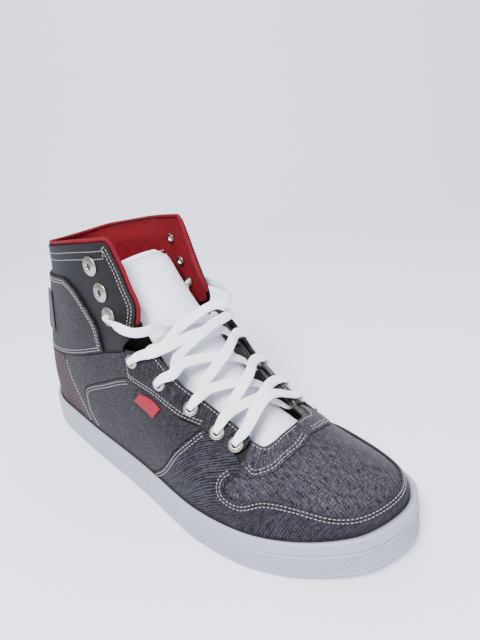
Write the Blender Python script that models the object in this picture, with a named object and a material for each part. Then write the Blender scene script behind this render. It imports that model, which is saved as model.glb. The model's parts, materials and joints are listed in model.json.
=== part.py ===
"""Basketball high top, right shoe, built up from its separate pieces.

+X points to the toe, -Y is the outer (lateral) side, +Z is up, metres.
The upper is cut from panels laid on one skin.  A place on that skin is (u, v): u runs
round the shoe from the heel (0) to the toe tip (+1 outer side, -1 inner side) and v runs
from the top edge of the sole (0) up to the collar rim or the middle line (1).
v below 0 is the margin that is pulled under the insole board.
"""
import math

import bpy
import numpy as np
from mathutils import Matrix

# ---- overall size -------------------------------------------------------------------
SOLE_LENGTH = 0.305
SOLE_WIDTH = 0.1075
COLLAR_HEIGHT = 0.160
SOLE_HEIGHT = 0.022
TOE_SPRING = 0.009
HEEL_LIFT = 0.0015

# ---- thicknesses and gaps -------------------------------------------------------------
GAP = 0.0003
LAYER_GAP = 0.0007
WALL_GAP = 0.0008
PANEL = 0.0012
LINING = 0.0008
PAD = 0.003
FRONT_EASE = 0.0008
TRIM = 0.0009
PIPING_RADIUS = 0.0011
TUCK_RADIUS = 0.005
TUCK_FLANGE = 0.006
TUCK_DEPTH = 0.0125
CUP_FLOOR = 0.0045
SIDE_MARGIN = 0.0038
END_MARGIN = 0.0024
LIP_INSET = 0.0011
BOARD = 0.0012
SOCKLINER = 0.0036

# ---- eyelets, lace, tongue --------------------------------------------------------------
BARREL_BORE = 0.00185
BARREL_RADIUS = 0.0023
HOLE_RADIUS = 0.0027
RING_RADIUS = 0.0043
WASHER_RADIUS = 0.0061
BACK_FLANGE_RADIUS = 0.0034
EYELET_SIDES = 10
LACE_WIDTH = 0.0062
LACE_THICKNESS = 0.0014
LACE_FOLDED = 0.0028
AGLET_RADIUS = 0.0015
AGLET_LENGTH = 0.022
TONGUE_FACE = 0.0012
TONGUE_FOAM = 0.0036
TONGUE_LINING = 0.0008
TONGUE_ROWS = 16

# Depths below the skin: the outer panels touch it, the inner panels lie under them.
OUTER = (-PANEL, 0.0)
INNER = (-2 * PANEL - LAYER_GAP, -PANEL - LAYER_GAP)
LINER_TOP = INNER[0] - LAYER_GAP
LINER = (LINER_TOP - LINING, LINER_TOP)
TRIM_LEVEL = (GAP, GAP + TRIM)

REFERENCE = (0.305, 0.1075, 0.160)
X_SCALE = SOLE_LENGTH / REFERENCE[0] / 1000
Y_SCALE = SOLE_WIDTH / REFERENCE[1] / 1000
Z_SCALE = COLLAR_HEIGHT / REFERENCE[2] / 1000

# The last at its reference size, millimetres.  One row per section round the shoe:
# u, bottom x, half width outer, half width inner, top x, top half width, top z,
# rise and lean of the section at the bottom, pull at the top along x, y, z,
# and how much flatter the inner side is.
LAST = np.array([
    (0.00, -146.0, 0.0, 0.0, -108.0, 0.0, 148.0, 44, 2, -13, 0.0, -40.0, 1.00),
    (0.07, -140.5, 19.0, 18.0, -104.0, 16.5, 148.7, 44, 2, -12, -1.5, -40.0, 1.00),
    (0.15, -124.0, 29.5, 28.5, -94.0, 27.0, 150.0, 44, 2, -8, -1.5, -40.0, 1.00),
    (0.27, -95.0, 34.5, 33.5, -74.0, 33.5, 152.6, 44, 3, -5, 0.5, -42.0, 1.00),
    (0.38, -62.0, 38.5, 31.5, -49.0, 35.5, 156.6, 42, 4, -3, 2.0, -44.0, 1.00),
    (0.48, -25.0, 42.0, 31.5, -22.0, 33.0, 160.0, 40, 3, 2, 4.0, -44.0, 1.00),
    (0.56, 5.0, 45.5, 35.0, -8.0, 21.0, 157.0, 34, 2, 6, 16.0, -36.0, 1.00),
    (0.62, 25.0, 48.5, 39.0, 5.0, 0.0, 138.0, 30, 2, 6, 34.0, -8.0, 0.90),
    (0.68, 42.0, 51.0, 43.0, 22.0, 0.0, 110.0, 27, 2, 4, 33.0, -5.0, 0.82),
    (0.74, 58.0, 51.8, 45.5, 42.0, 0.0, 87.0, 23, 2, 3, 31.0, -3.0, 0.74),
    (0.80, 76.0, 50.5, 46.3, 66.0, 0.0, 69.5, 19, 2, 2, 29.0, -1.5, 0.66),
    (0.86, 95.0, 46.0, 45.0, 88.0, 0.0, 60.0, 16, 2, 2, 28.0, -0.5, 0.60),
    (0.91, 115.0, 37.0, 39.5, 99.0, 0.0, 56.5, 14, 2, 15, 22.0, -1.5, 0.66),
    (0.95, 131.0, 26.0, 31.5, 99.0, 0.0, 56.5, 13, 2, 24, 15.0, -3.0, 0.75),
    (0.98, 141.5, 12.0, 21.0, 99.0, 0.0, 56.5, 12, 2, 28, 6.0, -3.5, 0.85),
    (1.00, 146.0, -6.0, 6.0, 99.0, 0.0, 56.5, 12, 2, 29, 0.0, -4.0, 0.92),
])

# From these u on, the sections end on the middle line and at the top of the toe.
MIDDLE_U = 0.62
WRAPPED = 3
RESAMPLE_STEPS = 12
POLE_U = 0.91

# Panel edges as (u, v) places on one side; the other side mirrors them.
EYELETS = [(0.794, 0.596), (0.762, 0.575), (0.710, 0.563), (0.631, 0.486),
           (0.556, 0.530), (0.483, 0.685), (0.463, 0.785), (0.439, 0.900)]
WASHER_EYELETS = (5, 6, 7)
ANKLE_SEAM = [(0.0, 0.325), (0.14, 0.338), (0.268, 0.378), (0.406, 0.470),
              (0.455, 0.508), (0.531, 0.560), (0.605, 0.572)]
HEEL_EDGE = [(0.342, 0.0), (0.318, 0.112), (0.290, 0.200), (0.266, 0.300), (0.262, 0.370)]
QUARTER_EDGE = [(0.380, 0.0), (0.362, 0.067), (0.358, 0.158), (0.363, 0.226), (0.394, 0.291),
                (0.455, 0.364), (0.512, 0.432), (0.534, 0.450)]
EYESTAY_LOW = [(0.534, 0.450), (0.570, 0.430), (0.612, 0.413), (0.673, 0.446), (0.738, 0.530)]
FRONT_SEAM = [(0.570, 0.0), (0.625, 0.140), (0.671, 0.282), (0.710, 0.410), (0.738, 0.530)]
THROAT = [(0.605, 0.572), (0.656, 0.590), (0.686, 0.616), (0.725, 0.660), (0.768, 0.690),
          (0.812, 0.702)]
COLLAR_FRONT = [(0.520, 0.555), (0.545, 0.610), (0.565, 0.672), (0.570, 0.732), (0.556, 0.809),
                (0.541, 0.884), (0.524, 0.945), (0.510, 0.985), (0.490, 1.0)]
PATCH_EDGE = [(0.0, 0.832), (0.223, 0.834), (0.318, 0.840), (0.366, 0.800), (0.397, 0.745),
              (0.422, 0.683), (0.441, 0.630), (0.455, 0.510)]
TOE_LINE = [(0.808, 0.600), (0.810, 0.500), (0.801, 0.405), (0.787, 0.310), (0.790, 0.260),
            (0.806, 0.245), (0.821, 0.255), (0.842, 0.315), (0.860, 0.365), (0.880, 0.385),
            (0.905, 0.375), (0.932, 0.320), (0.957, 0.278), (0.980, 0.266), (1.0, 0.266)]
VAMP_ROWS = (0.0, 0.07, 0.15, 0.28, 0.43, 0.60, 0.80, 1.0)
VAMP_EDGE = [(0.778, 0.325), (0.778, 0.285), (0.779, 0.245), (0.787, 0.208), (0.802, 0.194),
             (0.820, 0.204), (0.838, 0.255), (0.857, 0.308), (0.880, 0.335), (0.905, 0.325),
             (0.932, 0.275), (0.957, 0.242), (0.980, 0.236), (1.0, 0.236)]
VAMP_COLUMNS = 31
VAMP_CROWN = 0.905
VAMP_REAR = [(0.778, 0.325), (0.839, 0.700), (0.856, 1.0)]
APRON_OUTER = [(0.815, 0.500), (0.832, 0.478), (0.848, 0.520), (0.861, 0.590), (0.872, 0.730),
               (0.882, 0.862), (0.886, 1.0)]
APRON_INNER = [(0.816, 0.690), (0.824, 0.698), (0.833, 0.706), (0.841, 0.740), (0.846, 0.830),
               (0.850, 0.920), (0.852, 1.0)]
TAB = [(0.552, 0.368), (0.608, 0.330), (0.636, 0.398), (0.574, 0.409)]
BADGE = [(0.150, 0.500), (0.215, 0.500), (0.205, 0.735), (0.150, 0.735)]

# Middle line of the tongue face from its sewn end to its top: x, z, half width, droop
# of its edges, millimetres at the reference size.
TONGUE = [(93.0, 49.5, 16.0, 4.0), (80.0, 53.0, 17.5, 5.5), (64.0, 59.0, 19.0, 8.0),
          (50.0, 66.5, 21.0, 9.0), (36.0, 77.0, 22.5, 8.5), (23.0, 88.0, 23.0, 7.0),
          (11.0, 99.0, 23.0, 6.0), (1.0, 109.5, 22.0, 5.0), (-8.0, 120.5, 21.5, 4.5),
          (-16.0, 131.0, 21.5, 4.0), (-22.5, 140.0, 21.0, 3.5), (-27.0, 145.5, 18.0, 3.0)]

# The lace: u of each row on the middle line, where it passes the edge of the flap,
# and its depths where the two strands cross over the tongue.
LACED_ROWS = 6
ROW_MIDDLE = [0.800, 0.785, 0.748, 0.708, 0.676, 0.650]
FLAP_EDGE = [(0.800, 0.700), (0.768, 0.690), (0.722, 0.655), (0.665, 0.598), (0.622, 0.590),
             (0.580, 0.690)]
BAR_LIFT = 0.0030
CROSSING_DEPTH = [0.0030, 0.0038, 0.0044, 0.0062]
CROSSING_STEP = 0.0040
ARM = 0.28
EYELET_RISE = 0.0014

# The two slack top strands: points in millimetres at the reference size, and the
# direction the flat of the lace faces there.
LOOP = {1: [((8.6, 3.0, 104.6), (0.65, 0.0, 0.76)), ((7.2, -9.0, 108.2), (0.68, -0.1, 0.7)),
            ((7.0, -19.0, 111.0), (0.75, -0.4, 0.5)), ((9.0, -29.0, 111.5), (0.75, -0.65, 0.1)),
            ((5.0, -37.2, 112.0), (0.35, -0.94, 0.0)), ((-7.0, -39.8, 113.8), (0.0, -1.0, 0.1))],
        -1: [((12.0, -12.0, 105.6), (0.65, 0.0, 0.76)), ((13.4, 0.0, 109.0), (0.65, 0.0, 0.76)),
             ((15.2, 12.0, 111.4), (0.65, 0.1, 0.7)), ((18.0, 24.0, 111.5), (0.75, 0.45, 0.4)),
             ((12.5, 33.5, 113.0), (0.5, 0.85, 0.1)), ((0.0, 37.0, 115.5), (0.1, 1.0, 0.0)),
             ((-10.0, 36.2, 116.2), (0.0, 1.0, 0.0))]}

# Free ends of the lace inside the shoe: first along the lining (u, v, extra depth),
# then over the footbed (x, y, height over the footbed), millimetres at reference size.
TAIL_LINING = [(0.476, 0.615, 0.0022), (0.462, 0.540, 0.0012), (0.450, 0.430, 0.0014),
               (0.440, 0.320, 0.0016), (0.435, 0.210, 0.0022), (0.430, 0.110, 0.0040)]
TAIL_FOOTBED = {1: [(-52.0, -22.0, 1.2), (-68.0, -13.0, 1.2), (-84.0, -8.0, 2.4)],
                -1: [(-52.0, 14.0, 1.2), (-72.0, 12.0, 1.2), (-92.0, 9.0, 2.4)]}

NAME = "basketball_high_top"
COLOURS = {
    "white_rubber": (0.86, 0.86, 0.88), "midsole_foam": (0.80, 0.79, 0.75),
    "board": (0.55, 0.43, 0.30), "footbed": (0.10, 0.10, 0.11), "denim": (0.16, 0.17, 0.19),
    "twill": (0.11, 0.12, 0.14), "smooth_leather": (0.10, 0.11, 0.12),
    "red_lining": (0.55, 0.01, 0.04), "black_lining": (0.02, 0.02, 0.02),
    "foam": (0.75, 0.72, 0.60), "stiffener": (0.62, 0.56, 0.46), "maroon": (0.12, 0.07, 0.09),
    "white_textile": (0.88, 0.88, 0.89), "lace": (0.85, 0.86, 0.88), "metal": (0.72, 0.70, 0.66),
    "aglet_plastic": (0.85, 0.86, 0.88), "red_tab": (0.60, 0.02, 0.05),
    "embroidery": (0.35, 0.35, 0.37)}


# ---- scene helpers ----------------------------------------------------------------------
def clear_scene():
    """Remove whatever the start-up scene holds."""
    for obj in list(bpy.data.objects):
        bpy.data.objects.remove(obj, do_unlink=True)


def make_collection(name):
    """Add a collection to the scene."""
    collection = bpy.data.collections.new(name)
    bpy.context.scene.collection.children.link(collection)
    return collection


def make_material(name):
    """A plain Principled material in the piece's colour."""
    found = bpy.data.materials.get(name)
    if found:
        return found
    material = bpy.data.materials.new(name)
    material.use_nodes = True
    shader = material.node_tree.nodes["Principled BSDF"]
    shader.inputs["Base Color"].default_value = (*COLOURS[name], 1.0)
    shader.inputs["Roughness"].default_value = 0.6
    return material


def make_object(name, points, faces, material):
    """Add one solid, turning its faces outwards."""
    points = [np.asarray(point, float) for point in points]
    if signed_volume(points, faces) < 0:
        faces = [tuple(reversed(face)) for face in faces]
    mesh = bpy.data.meshes.new(name)
    mesh.from_pydata([tuple(point) for point in points], [], faces)
    mesh.materials.append(make_material(material))
    obj = bpy.data.objects.new(name, mesh)
    PARTS.objects.link(obj)
    return obj


def signed_volume(points, faces):
    """Six times the volume the faces enclose; negative when they face inwards."""
    total = 0.0
    for face in faces:
        for index in range(1, len(face) - 1):
            first, second, third = (points[face[k]] for k in (0, index, index + 1))
            total += float(np.dot(first, np.cross(second, third)))
    return total


# ---- curves and the skin ------------------------------------------------------------------
def natural_spline(knots, values):
    """Natural cubic spline through rows of values."""
    count = len(knots)
    step = np.diff(knots)
    system = np.zeros((count, count))
    right = np.zeros_like(values)
    system[0, 0] = 1.0
    system[-1, -1] = 1.0
    for i in range(1, count - 1):
        system[i, i - 1:i + 2] = step[i - 1], 2 * (step[i - 1] + step[i]), step[i]
        slope_after = (values[i + 1] - values[i]) / step[i]
        slope_before = (values[i] - values[i - 1]) / step[i - 1]
        right[i] = 6 * (slope_after - slope_before)
    bend = np.linalg.solve(system, right)

    def value_at(t):
        i = int(np.clip(np.searchsorted(knots, t) - 1, 0, count - 2))
        before = knots[i + 1] - t
        after = t - knots[i]
        span = step[i]
        return (bend[i] * before ** 3 / (6 * span) + bend[i + 1] * after ** 3 / (6 * span)
                + (values[i] / span - bend[i] * span / 6) * before
                + (values[i + 1] / span - bend[i + 1] * span / 6) * after)

    return value_at


def toe_rise(x):
    """Height the toe end of the sole turns up by."""
    start = 0.279 * SOLE_LENGTH
    run = 0.22 * SOLE_LENGTH
    return TOE_SPRING * np.clip((x - start) / run, 0, 1) ** 2


def sole_top(x):
    """Height of the sole's top edge."""
    heel = np.clip((-0.131 * SOLE_LENGTH - x) / (0.36 * SOLE_LENGTH), 0, 1)
    return SOLE_HEIGHT + toe_rise(x) + HEEL_LIFT * heel


def side_rows(rows, sign, flatten):
    """Control points of the sections on one side."""
    bottoms = []
    tops = []
    for row in rows:
        x = row[1] * X_SCALE
        width = row[2] if sign < 0 else row[3]
        bottoms.append((x, sign * width * Y_SCALE, sole_top(x)))
        tops.append((row[4] * X_SCALE, sign * row[5] * Y_SCALE, row[6] * Z_SCALE))
    flatness = rows[:, 12] if flatten else np.where(rows[:, 0] == 1.0, rows[:, 12], 1.0)
    pulls = np.stack([rows[:, 9] * X_SCALE, sign * rows[:, 10] * Y_SCALE,
                      rows[:, 11] * Z_SCALE], axis=1) * flatness[:, None]
    rises = rows[:, 7] * Z_SCALE * flatness
    return np.array(bottoms), np.array(tops), pulls, rises, rows[:, 8] * Y_SCALE


def build_skin():
    """Splines of the four control points of each section, over u from -1 to 1."""
    outer = side_rows(LAST, -1, False)
    inner = side_rows(LAST[1:][::-1], 1, True)
    bottoms, tops, pulls, rises, leans = (wrap(np.concatenate(pair))
                                          for pair in zip(inner, outer))
    knots = np.concatenate([-LAST[1:, 0][::-1], LAST[:, 0]])
    knots = np.concatenate([knots[-WRAPPED - 1:-1] - 2.0, knots, knots[1:WRAPPED + 1] + 2.0])
    outline = natural_spline(knots, bottoms)
    outward = []
    for u in knots:
        outward.append(plan_normal(outline, u))
    outward = np.array(outward)
    lower = bottoms + outward * leans[:, None] + np.array([0, 0, 1.0]) * rises[:, None]
    return (outline, natural_spline(knots, lower), natural_spline(knots, tops + pulls),
            natural_spline(knots, tops))


def wrap(rows):
    """Repeat rows past both ends so that the toe tip is smooth."""
    return np.concatenate([rows[-WRAPPED - 1:-1], rows, rows[1:WRAPPED + 1]])


def plan_normal(outline, u):
    """Horizontal direction pointing out of the shoe at u."""
    along = outline(u - 0.001) - outline(u + 0.001)
    normal = np.array([-along[1], along[0], 0.0])
    normal /= np.linalg.norm(normal)
    centre = np.array([0.75 * outline(u)[0], 0.0, 0.0])
    here = outline(u) - centre
    return normal if normal @ here > 0 else -normal


def skin(u, v):
    """Point of the skin."""
    if v < 0:
        return tuck(u, -v)[0]
    start, lower, upper, end = (curve(u) for curve in SKIN)
    if abs(u) >= POLE_U:
        end = SKIN[3](1.0)
    if abs(u) >= MIDDLE_U:
        end = end * np.array([1.0, 0.0, 1.0])
    w = 1 - v
    return start * w ** 3 + 3 * lower * w * w * v + 3 * upper * w * v * v + end * v ** 3


def tuck(u, share):
    """Point and outward direction on the margin pulled under the board."""
    outward = plan_normal(SKIN[0], u)
    down = np.array([0, 0, -1.0])
    point = np.array(SKIN[0](u))
    straight = TUCK_DEPTH - TUCK_RADIUS
    if share <= 0.4:
        return point + down * straight * share / 0.4, outward
    turn = min((share - 0.4) / 0.3, 1.0) * math.pi / 2
    point = point + down * (straight + TUCK_RADIUS * math.sin(turn))
    point = point - outward * TUCK_RADIUS * (1 - math.cos(turn))
    if share > 0.7:
        point = point - outward * TUCK_FLANGE * (share - 0.7) / 0.3
    point[2] += sole_top(point[0]) - sole_top(SKIN[0](u)[0])
    return point, outward * math.cos(turn) + down * math.sin(turn)


def skin_normal(u, v):
    """Direction pointing out of the shoe at a place on the skin."""
    if v < 0:
        return tuck(u, -v)[1]
    v = min(max(v, 0.002), 0.998)
    across = skin(u + 0.001, v) - skin(u - 0.001, v)
    upward = skin(u, v + 0.001) - skin(u, v - 0.001)
    normal = np.cross(across, upward)
    return normal / np.linalg.norm(normal)


def place(u, v, depth):
    """Point at a depth below (negative) or above the skin."""
    return skin(u, v) + skin_normal(u, v) * depth


def smooth(value, low, high):
    """Ease from 0 at low to 1 at high."""
    t = min(max((value - low) / (high - low), 0.0), 1.0)
    return t * t * (3 - 2 * t)


def padding(u, v):
    """Depth of the collar padding at a place."""
    rise = smooth(v, 0.50, 0.66) * (1 - smooth(v, 0.90, 1.0))
    front = FRONT_EASE * smooth(abs(u), 0.50, 0.55)
    return PAD * rise * (1 - smooth(abs(u), 0.36, 0.44)) + front


# ---- panels -------------------------------------------------------------------------------
def resample(points, count):
    """Places along a run of (u, v) places, evenly spaced over the skin."""
    corners = np.array(points, float)
    numbers = np.linspace(0, len(points) - 1, (len(points) - 1) * RESAMPLE_STEPS + 1)
    fine = np.stack([np.interp(numbers, range(len(points)), corners[:, k]) for k in (0, 1)],
                    axis=1)
    track = np.array([skin(*over_toe(uv)) for uv in fine])
    length = np.concatenate([[0], np.cumsum(np.linalg.norm(np.diff(track, axis=0), axis=1))])
    wanted = np.linspace(0, length[-1], count)
    return np.stack([np.interp(wanted, length, fine[:, k]) for k in (0, 1)], axis=1)


def mirror(points):
    """The same places on the other side of the shoe."""
    return [(-u, v) for u, v in points]


def shift(points, du, dv):
    """Move places over the skin."""
    return [(u + du, v + dv) for u, v in points]


def patch(bottom, top, left, right, columns, rows):
    """Grid of places filling four edges; bottom and top run left to right, sides upwards."""
    bottom, top = resample(bottom, columns), resample(top, columns)
    left, right = resample(left, rows), resample(right, rows)
    grid = []
    for j in range(rows):
        t = j / (rows - 1)
        row = []
        for i in range(columns):
            s = i / (columns - 1)
            sides = left[j] * (1 - s) + right[j] * s
            ends = bottom[i] * (1 - t) + top[i] * t
            corners = ((bottom[0] * (1 - s) + bottom[-1] * s) * (1 - t)
                       + (top[0] * (1 - s) + top[-1] * s) * t)
            row.append(tuple(sides + ends - corners))
        grid.append(row)
    return grid


def with_margin(grid):
    """Add the rows that are pulled under the board below a grid's first row."""
    margin = []
    for v in (-1.0, -0.7, -0.55, -0.4):
        margin.append([(u, v) for u, _ in grid[0]])
    return margin + grid


def over_toe(place_uv):
    """Turn a running u past the toe tip (above 1) into the inner side's u."""
    u, v = place_uv
    return (u - 2.0, v) if u > 1.0 else (u, v)


def shell(name, grid, level, material, extra=None):
    """Closed panel between two depths over a grid of places.

    Places that fall on the same point (the middle line, the toe pole) are joined.
    extra(u, v) deepens both faces.
    """
    index_of = {}
    points = []
    normals = []
    depths = []
    indexed = []
    for row in grid:
        line = []
        for u, v in row:
            point = skin(u, v)
            key = tuple(np.round(point, 6))
            if key not in index_of:
                index_of[key] = len(points)
                points.append(point)
                normals.append(np.zeros(3))
                depths.append(extra(u, v) if extra else 0.0)
            number = index_of[key]
            normals[number] = normals[number] + skin_normal(u, v)
            line.append(number)
        indexed.append(line)
    faces = []
    for lower, upper in zip(indexed, indexed[1:]):
        for i in range(len(lower) - 1):
            corners = [lower[i], lower[i + 1], upper[i + 1], upper[i]]
            face = tuple(dict.fromkeys(corners))
            if len(face) > 2:
                faces.append(face)
    count = len(points)
    units = [normal / np.linalg.norm(normal) for normal in normals]
    outside = [p + n * (level[1] - d) for p, n, d in zip(points, units, depths)]
    inside = [p + n * (level[0] - d) for p, n, d in zip(points, units, depths)]
    solid = list(faces)
    solid += [tuple(k + count for k in reversed(face)) for face in faces]
    for first, second in boundary_edges(faces):
        solid.append((second, first, first + count, second + count))
    return make_object(name, outside + inside, solid, material)


def boundary_edges(faces):
    """Directed edges used by one face only."""
    edges = {}
    for face in faces:
        for first, second in zip(face, face[1:] + face[:1]):
            edges[(first, second)] = True
    return [edge for edge in edges if (edge[1], edge[0]) not in edges]


def loft(name, rings, material, closed=False):
    """Solid through rings of equal length; closed joins the last ring to the first."""
    size = len(rings[0])
    points = [point for ring in rings for point in ring]
    faces = []
    last = len(rings) if closed else len(rings) - 1
    for j in range(last):
        low = j * size
        high = ((j + 1) % len(rings)) * size
        for i in range(size):
            k = (i + 1) % size
            faces.append((low + i, low + k, high + k, high + i))
    if not closed:
        faces += ladder(list(range(size)), True)
        faces += ladder([(len(rings) - 1) * size + i for i in range(size)], False)
    return make_object(name, points, faces, material)


def ladder(ring, flip):
    """Cover a ring with rungs between its two halves."""
    faces = []
    size = len(ring)
    for i in range(size // 2):
        corners = (ring[i], ring[i + 1], ring[size - 1 - i - 1], ring[size - 1 - i])
        face = tuple(dict.fromkeys(corners))
        if len(face) > 2:
            faces.append(tuple(reversed(face)) if flip else face)
    return faces


# ---- sole ---------------------------------------------------------------------------------
SOLE_STEPS = [0.0, 0.035, 0.07, 0.11, 0.15, 0.21, 0.27, 0.34, 0.41, 0.48, 0.55, 0.62, 0.68, 0.74,
              0.80, 0.84, 0.875, 0.905, 0.93, 0.95, 0.967, 0.981, 0.991, 1.0]


def outline_ring(offset, height, ends=0.0):
    """Ring round the shoe at an offset from the feather line; height is a function of x."""
    ring = []
    steps = SOLE_STEPS + [-u for u in reversed(SOLE_STEPS[1:-1])]
    for u in steps:
        outward = plan_normal(SKIN[0], u)
        grow = offset + ends * outward[0] ** 2
        point = SKIN[0](u) + outward * grow
        ring.append((point[0], point[1], height(point[0])))
    return ring[1:] + ring[:1]


def build_sole():
    """Cup sole, foam wedge, insole board and footbed."""
    outer = SIDE_MARGIN
    wall = WALL_GAP
    profile = [(outer - 0.0012, lambda x: toe_rise(x)),
               (outer, lambda x: toe_rise(x) + 0.0014),
               (outer - 0.0003, lambda x: toe_rise(x) + 0.5 * SOLE_HEIGHT),
               (outer - LIP_INSET, lambda x: sole_top(x) - 0.0014),
               (outer - LIP_INSET - 0.0008, lambda x: sole_top(x)),
               (wall + 0.0004, lambda x: sole_top(x) - 0.0001),
               (wall, lambda x: sole_top(x) - 0.0010),
               (wall, lambda x: sole_top(x) - TUCK_DEPTH + TUCK_RADIUS),
               (wall - 0.35 * TUCK_RADIUS,
                lambda x: sole_top(x) - TUCK_DEPTH + 0.20 * TUCK_RADIUS),
               (wall - TUCK_RADIUS, lambda x: toe_rise(x) + CUP_FLOOR)]
    rings = []
    for offset, height in profile:
        ends = END_MARGIN if offset > outer - LIP_INSET - 0.001 else 0.0
        rings.append(outline_ring(offset, height, ends))
    loft("outsole_cup", rings, "white_rubber")

    foam_edge = -TUCK_RADIUS
    flange_end = foam_edge - TUCK_FLANGE
    foam = [outline_ring(foam_edge - 0.001, lambda x: toe_rise(x) + CUP_FLOOR + GAP),
            outline_ring(foam_edge + 0.0002, lambda x: sole_top(x) - TUCK_DEPTH - 2 * GAP),
            outline_ring(flange_end - 2 * GAP, lambda x: sole_top(x) - TUCK_DEPTH - GAP),
            outline_ring(flange_end - 0.0015, lambda x: sole_top(x) - board_low() - GAP)]
    loft("midsole_wedge", foam, "midsole_foam")

    edge = LINER[0] - GAP - 0.0002
    board = [outline_ring(edge - 0.0028, lambda x: sole_top(x) - board_low()),
             outline_ring(edge - 0.0010, lambda x: sole_top(x) - board_low() + BOARD)]
    loft("insole_board", board, "board")

    bed_low = board_low() - BOARD - GAP
    bed = [outline_ring(edge - 0.0010, lambda x: sole_top(x) - bed_low),
           outline_ring(edge - 0.0012, lambda x: sole_top(x) - bed_low + 0.8 * SOCKLINER),
           outline_ring(edge - 0.0038, lambda x: sole_top(x) - bed_low + SOCKLINER)]
    loft("sockliner", bed, "footbed")


def board_low():
    """Depth of the insole board's underside below the sole's top edge."""
    return TUCK_DEPTH + LINER[0] - GAP


def footbed_height(x):
    """Height of the footbed's top."""
    return sole_top(x) - board_low() + BOARD + GAP + SOCKLINER


# ---- upper --------------------------------------------------------------------------------
def on_side(grid, sign):
    """Put a grid on one side of the shoe."""
    return [[(sign * u, v) for u, v in row] for row in grid]


SEAM = 0.0035


def build_side(sign, side):
    """Panels that come in a pair."""
    collar_low = [(0.0, 0.800), (0.223, 0.802), (0.305, 0.806), (0.345, 0.775), (0.378, 0.715),
                  (0.405, 0.640), (0.425, 0.560), (0.440, 0.475), (0.480, 0.505), (0.520, 0.535)]
    front = [(0.520, 0.535)] + COLLAR_FRONT
    grid = patch(shift(collar_low[:1], 0.003, 0) + collar_low[1:], [(0.003, 1.0), (0.490, 1.0)],
                 [(0.003, 0.800), (0.003, 1.0)], front, 17, 7)
    collar = shell(side + "_collar", on_side(grid, sign), INNER, "smooth_leather")

    top = [(0.003, 0.832)] + PATCH_EDGE[1:3]
    front = [(0.455, 0.510), (0.450, 0.560)] + PATCH_EDGE[6:2:-1] + [PATCH_EDGE[2]]
    low = shift([(0.003, 0.325)] + ANKLE_SEAM[1:4] + [(0.455, 0.508)], 0, SEAM)
    grid = patch(low, top, [(0.003, 0.325 + SEAM), (0.003, 0.832)],
                 shift(front[:1], 0, SEAM) + front[1:], 12, 7)
    shell(side + "_ankle_patch", on_side(grid, sign), OUTER, "denim")

    low = [(HEEL_EDGE[0][0] + SEAM, 0.0), (QUARTER_EDGE[0][0] - SEAM, 0.0)]
    tip = (0.531 - SEAM, 0.560 - SEAM)
    left = shift(HEEL_EDGE[:-1], SEAM, 0) + [(0.262 + SEAM, 0.372 - SEAM)]
    left += shift(ANKLE_SEAM[3:5], 0, -SEAM) + [tip]
    right = shift(QUARTER_EDGE, -SEAM, SEAM)
    right[0] = (right[0][0], 0.0)
    grid = patch(low, [tip, right[-1]], left, right, 5, 15)
    shell(side + "_rear_quarter", on_side(with_margin(grid), sign), OUTER, "denim")

    low = [(0.380, 0.0), (0.570 - SEAM, 0.0)]
    top = shift(EYESTAY_LOW[:-1], 0, -2.5 * SEAM) + [(0.738 - SEAM, 0.530 - 2.5 * SEAM)]
    left = QUARTER_EDGE[:-1] + [(0.534, 0.450 - 2.5 * SEAM)]
    right = shift(FRONT_SEAM, -SEAM, 0)
    right[-1] = top[-1]
    grid = patch(low, top, left, right, 11, 9)
    shell(side + "_quarter", on_side(with_margin(grid), sign), OUTER, "denim")

    low = EYESTAY_LOW + [(0.770, 0.535), (0.797, 0.548)]
    top = ANKLE_SEAM[5:] + THROAT[1:]
    grid = patch(low, top, [(0.534, 0.450), (0.531, 0.560)],
                 [(0.797, 0.548), (0.806, 0.600), THROAT[-1]], 18, 5)
    eyestay = shell(side + "_eyestay", on_side(grid, sign), OUTER, "denim")
    return collar, eyestay


def build_toe():
    """Mudguard, vamp, apron round the throat, and the toe stiffener."""
    outer_line = shift([(0.738, 0.530), (0.770, 0.535), (0.795, 0.545)], SEAM, -SEAM)
    outer_line += TOE_LINE[1:]
    around = outer_line + [(2.0 - u, v) for u, v in reversed(outer_line[:-1])]
    left = shift(FRONT_SEAM[:-1], SEAM, 0) + [around[0]]
    right = [(2.0 - u, v) for u, v in left]
    low = [left[0], right[0]]
    grid = patch(low, around, left, right, 47, 7)
    grid = [[over_toe(uv) for uv in row] for row in grid]
    shell("mudguard", with_margin(grid), OUTER, "twill")

    edge = resample(VAMP_EDGE + [(2.0 - u, v) for u, v in VAMP_EDGE[-2::-1]], VAMP_COLUMNS)
    crown = np.linspace(VAMP_CROWN, 2.0 - VAMP_CROWN, VAMP_COLUMNS)
    rear = [np.array(VAMP_REAR)[:, k] for k in (1, 0)]
    grid = []
    for t in VAMP_ROWS:
        row = [(u * (1 - t) + c * t, v * (1 - t) + t) for (u, v), c in zip(edge, crown)]
        back = np.interp(row[0][1], *rear)
        row = [(back, row[0][1])] + row + [(2.0 - back, row[0][1])]
        grid.append([over_toe(uv) for uv in row])
    shell("toe_vamp", grid, INNER, "denim")

    puff = patch([(0.86, 0.0), (1.14, 0.0)], [(0.865, 0.300), (0.93, 0.235), (0.98, 0.190),
                                              (1.0, 0.188), (1.02, 0.190), (1.07, 0.235),
                                              (1.135, 0.300)],
                 [(0.86, 0.0), (0.865, 0.300)], [(1.14, 0.0), (1.135, 0.300)], 15, 4)
    shell("toe_puff", [[over_toe(uv) for uv in row] for row in puff], INNER, "stiffener")

    outer = resample(APRON_OUTER, 9)
    inner = resample(APRON_INNER, 9)
    grid = []
    for side, order in ((1, range(9)), (-1, range(7, -1, -1))):
        for k in order:
            grid.append([(side * u, v) for u, v in (outer[k], (outer[k] + inner[k]) / 2, inner[k])])
    shell("throat_apron", grid, OUTER, "denim")


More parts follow.
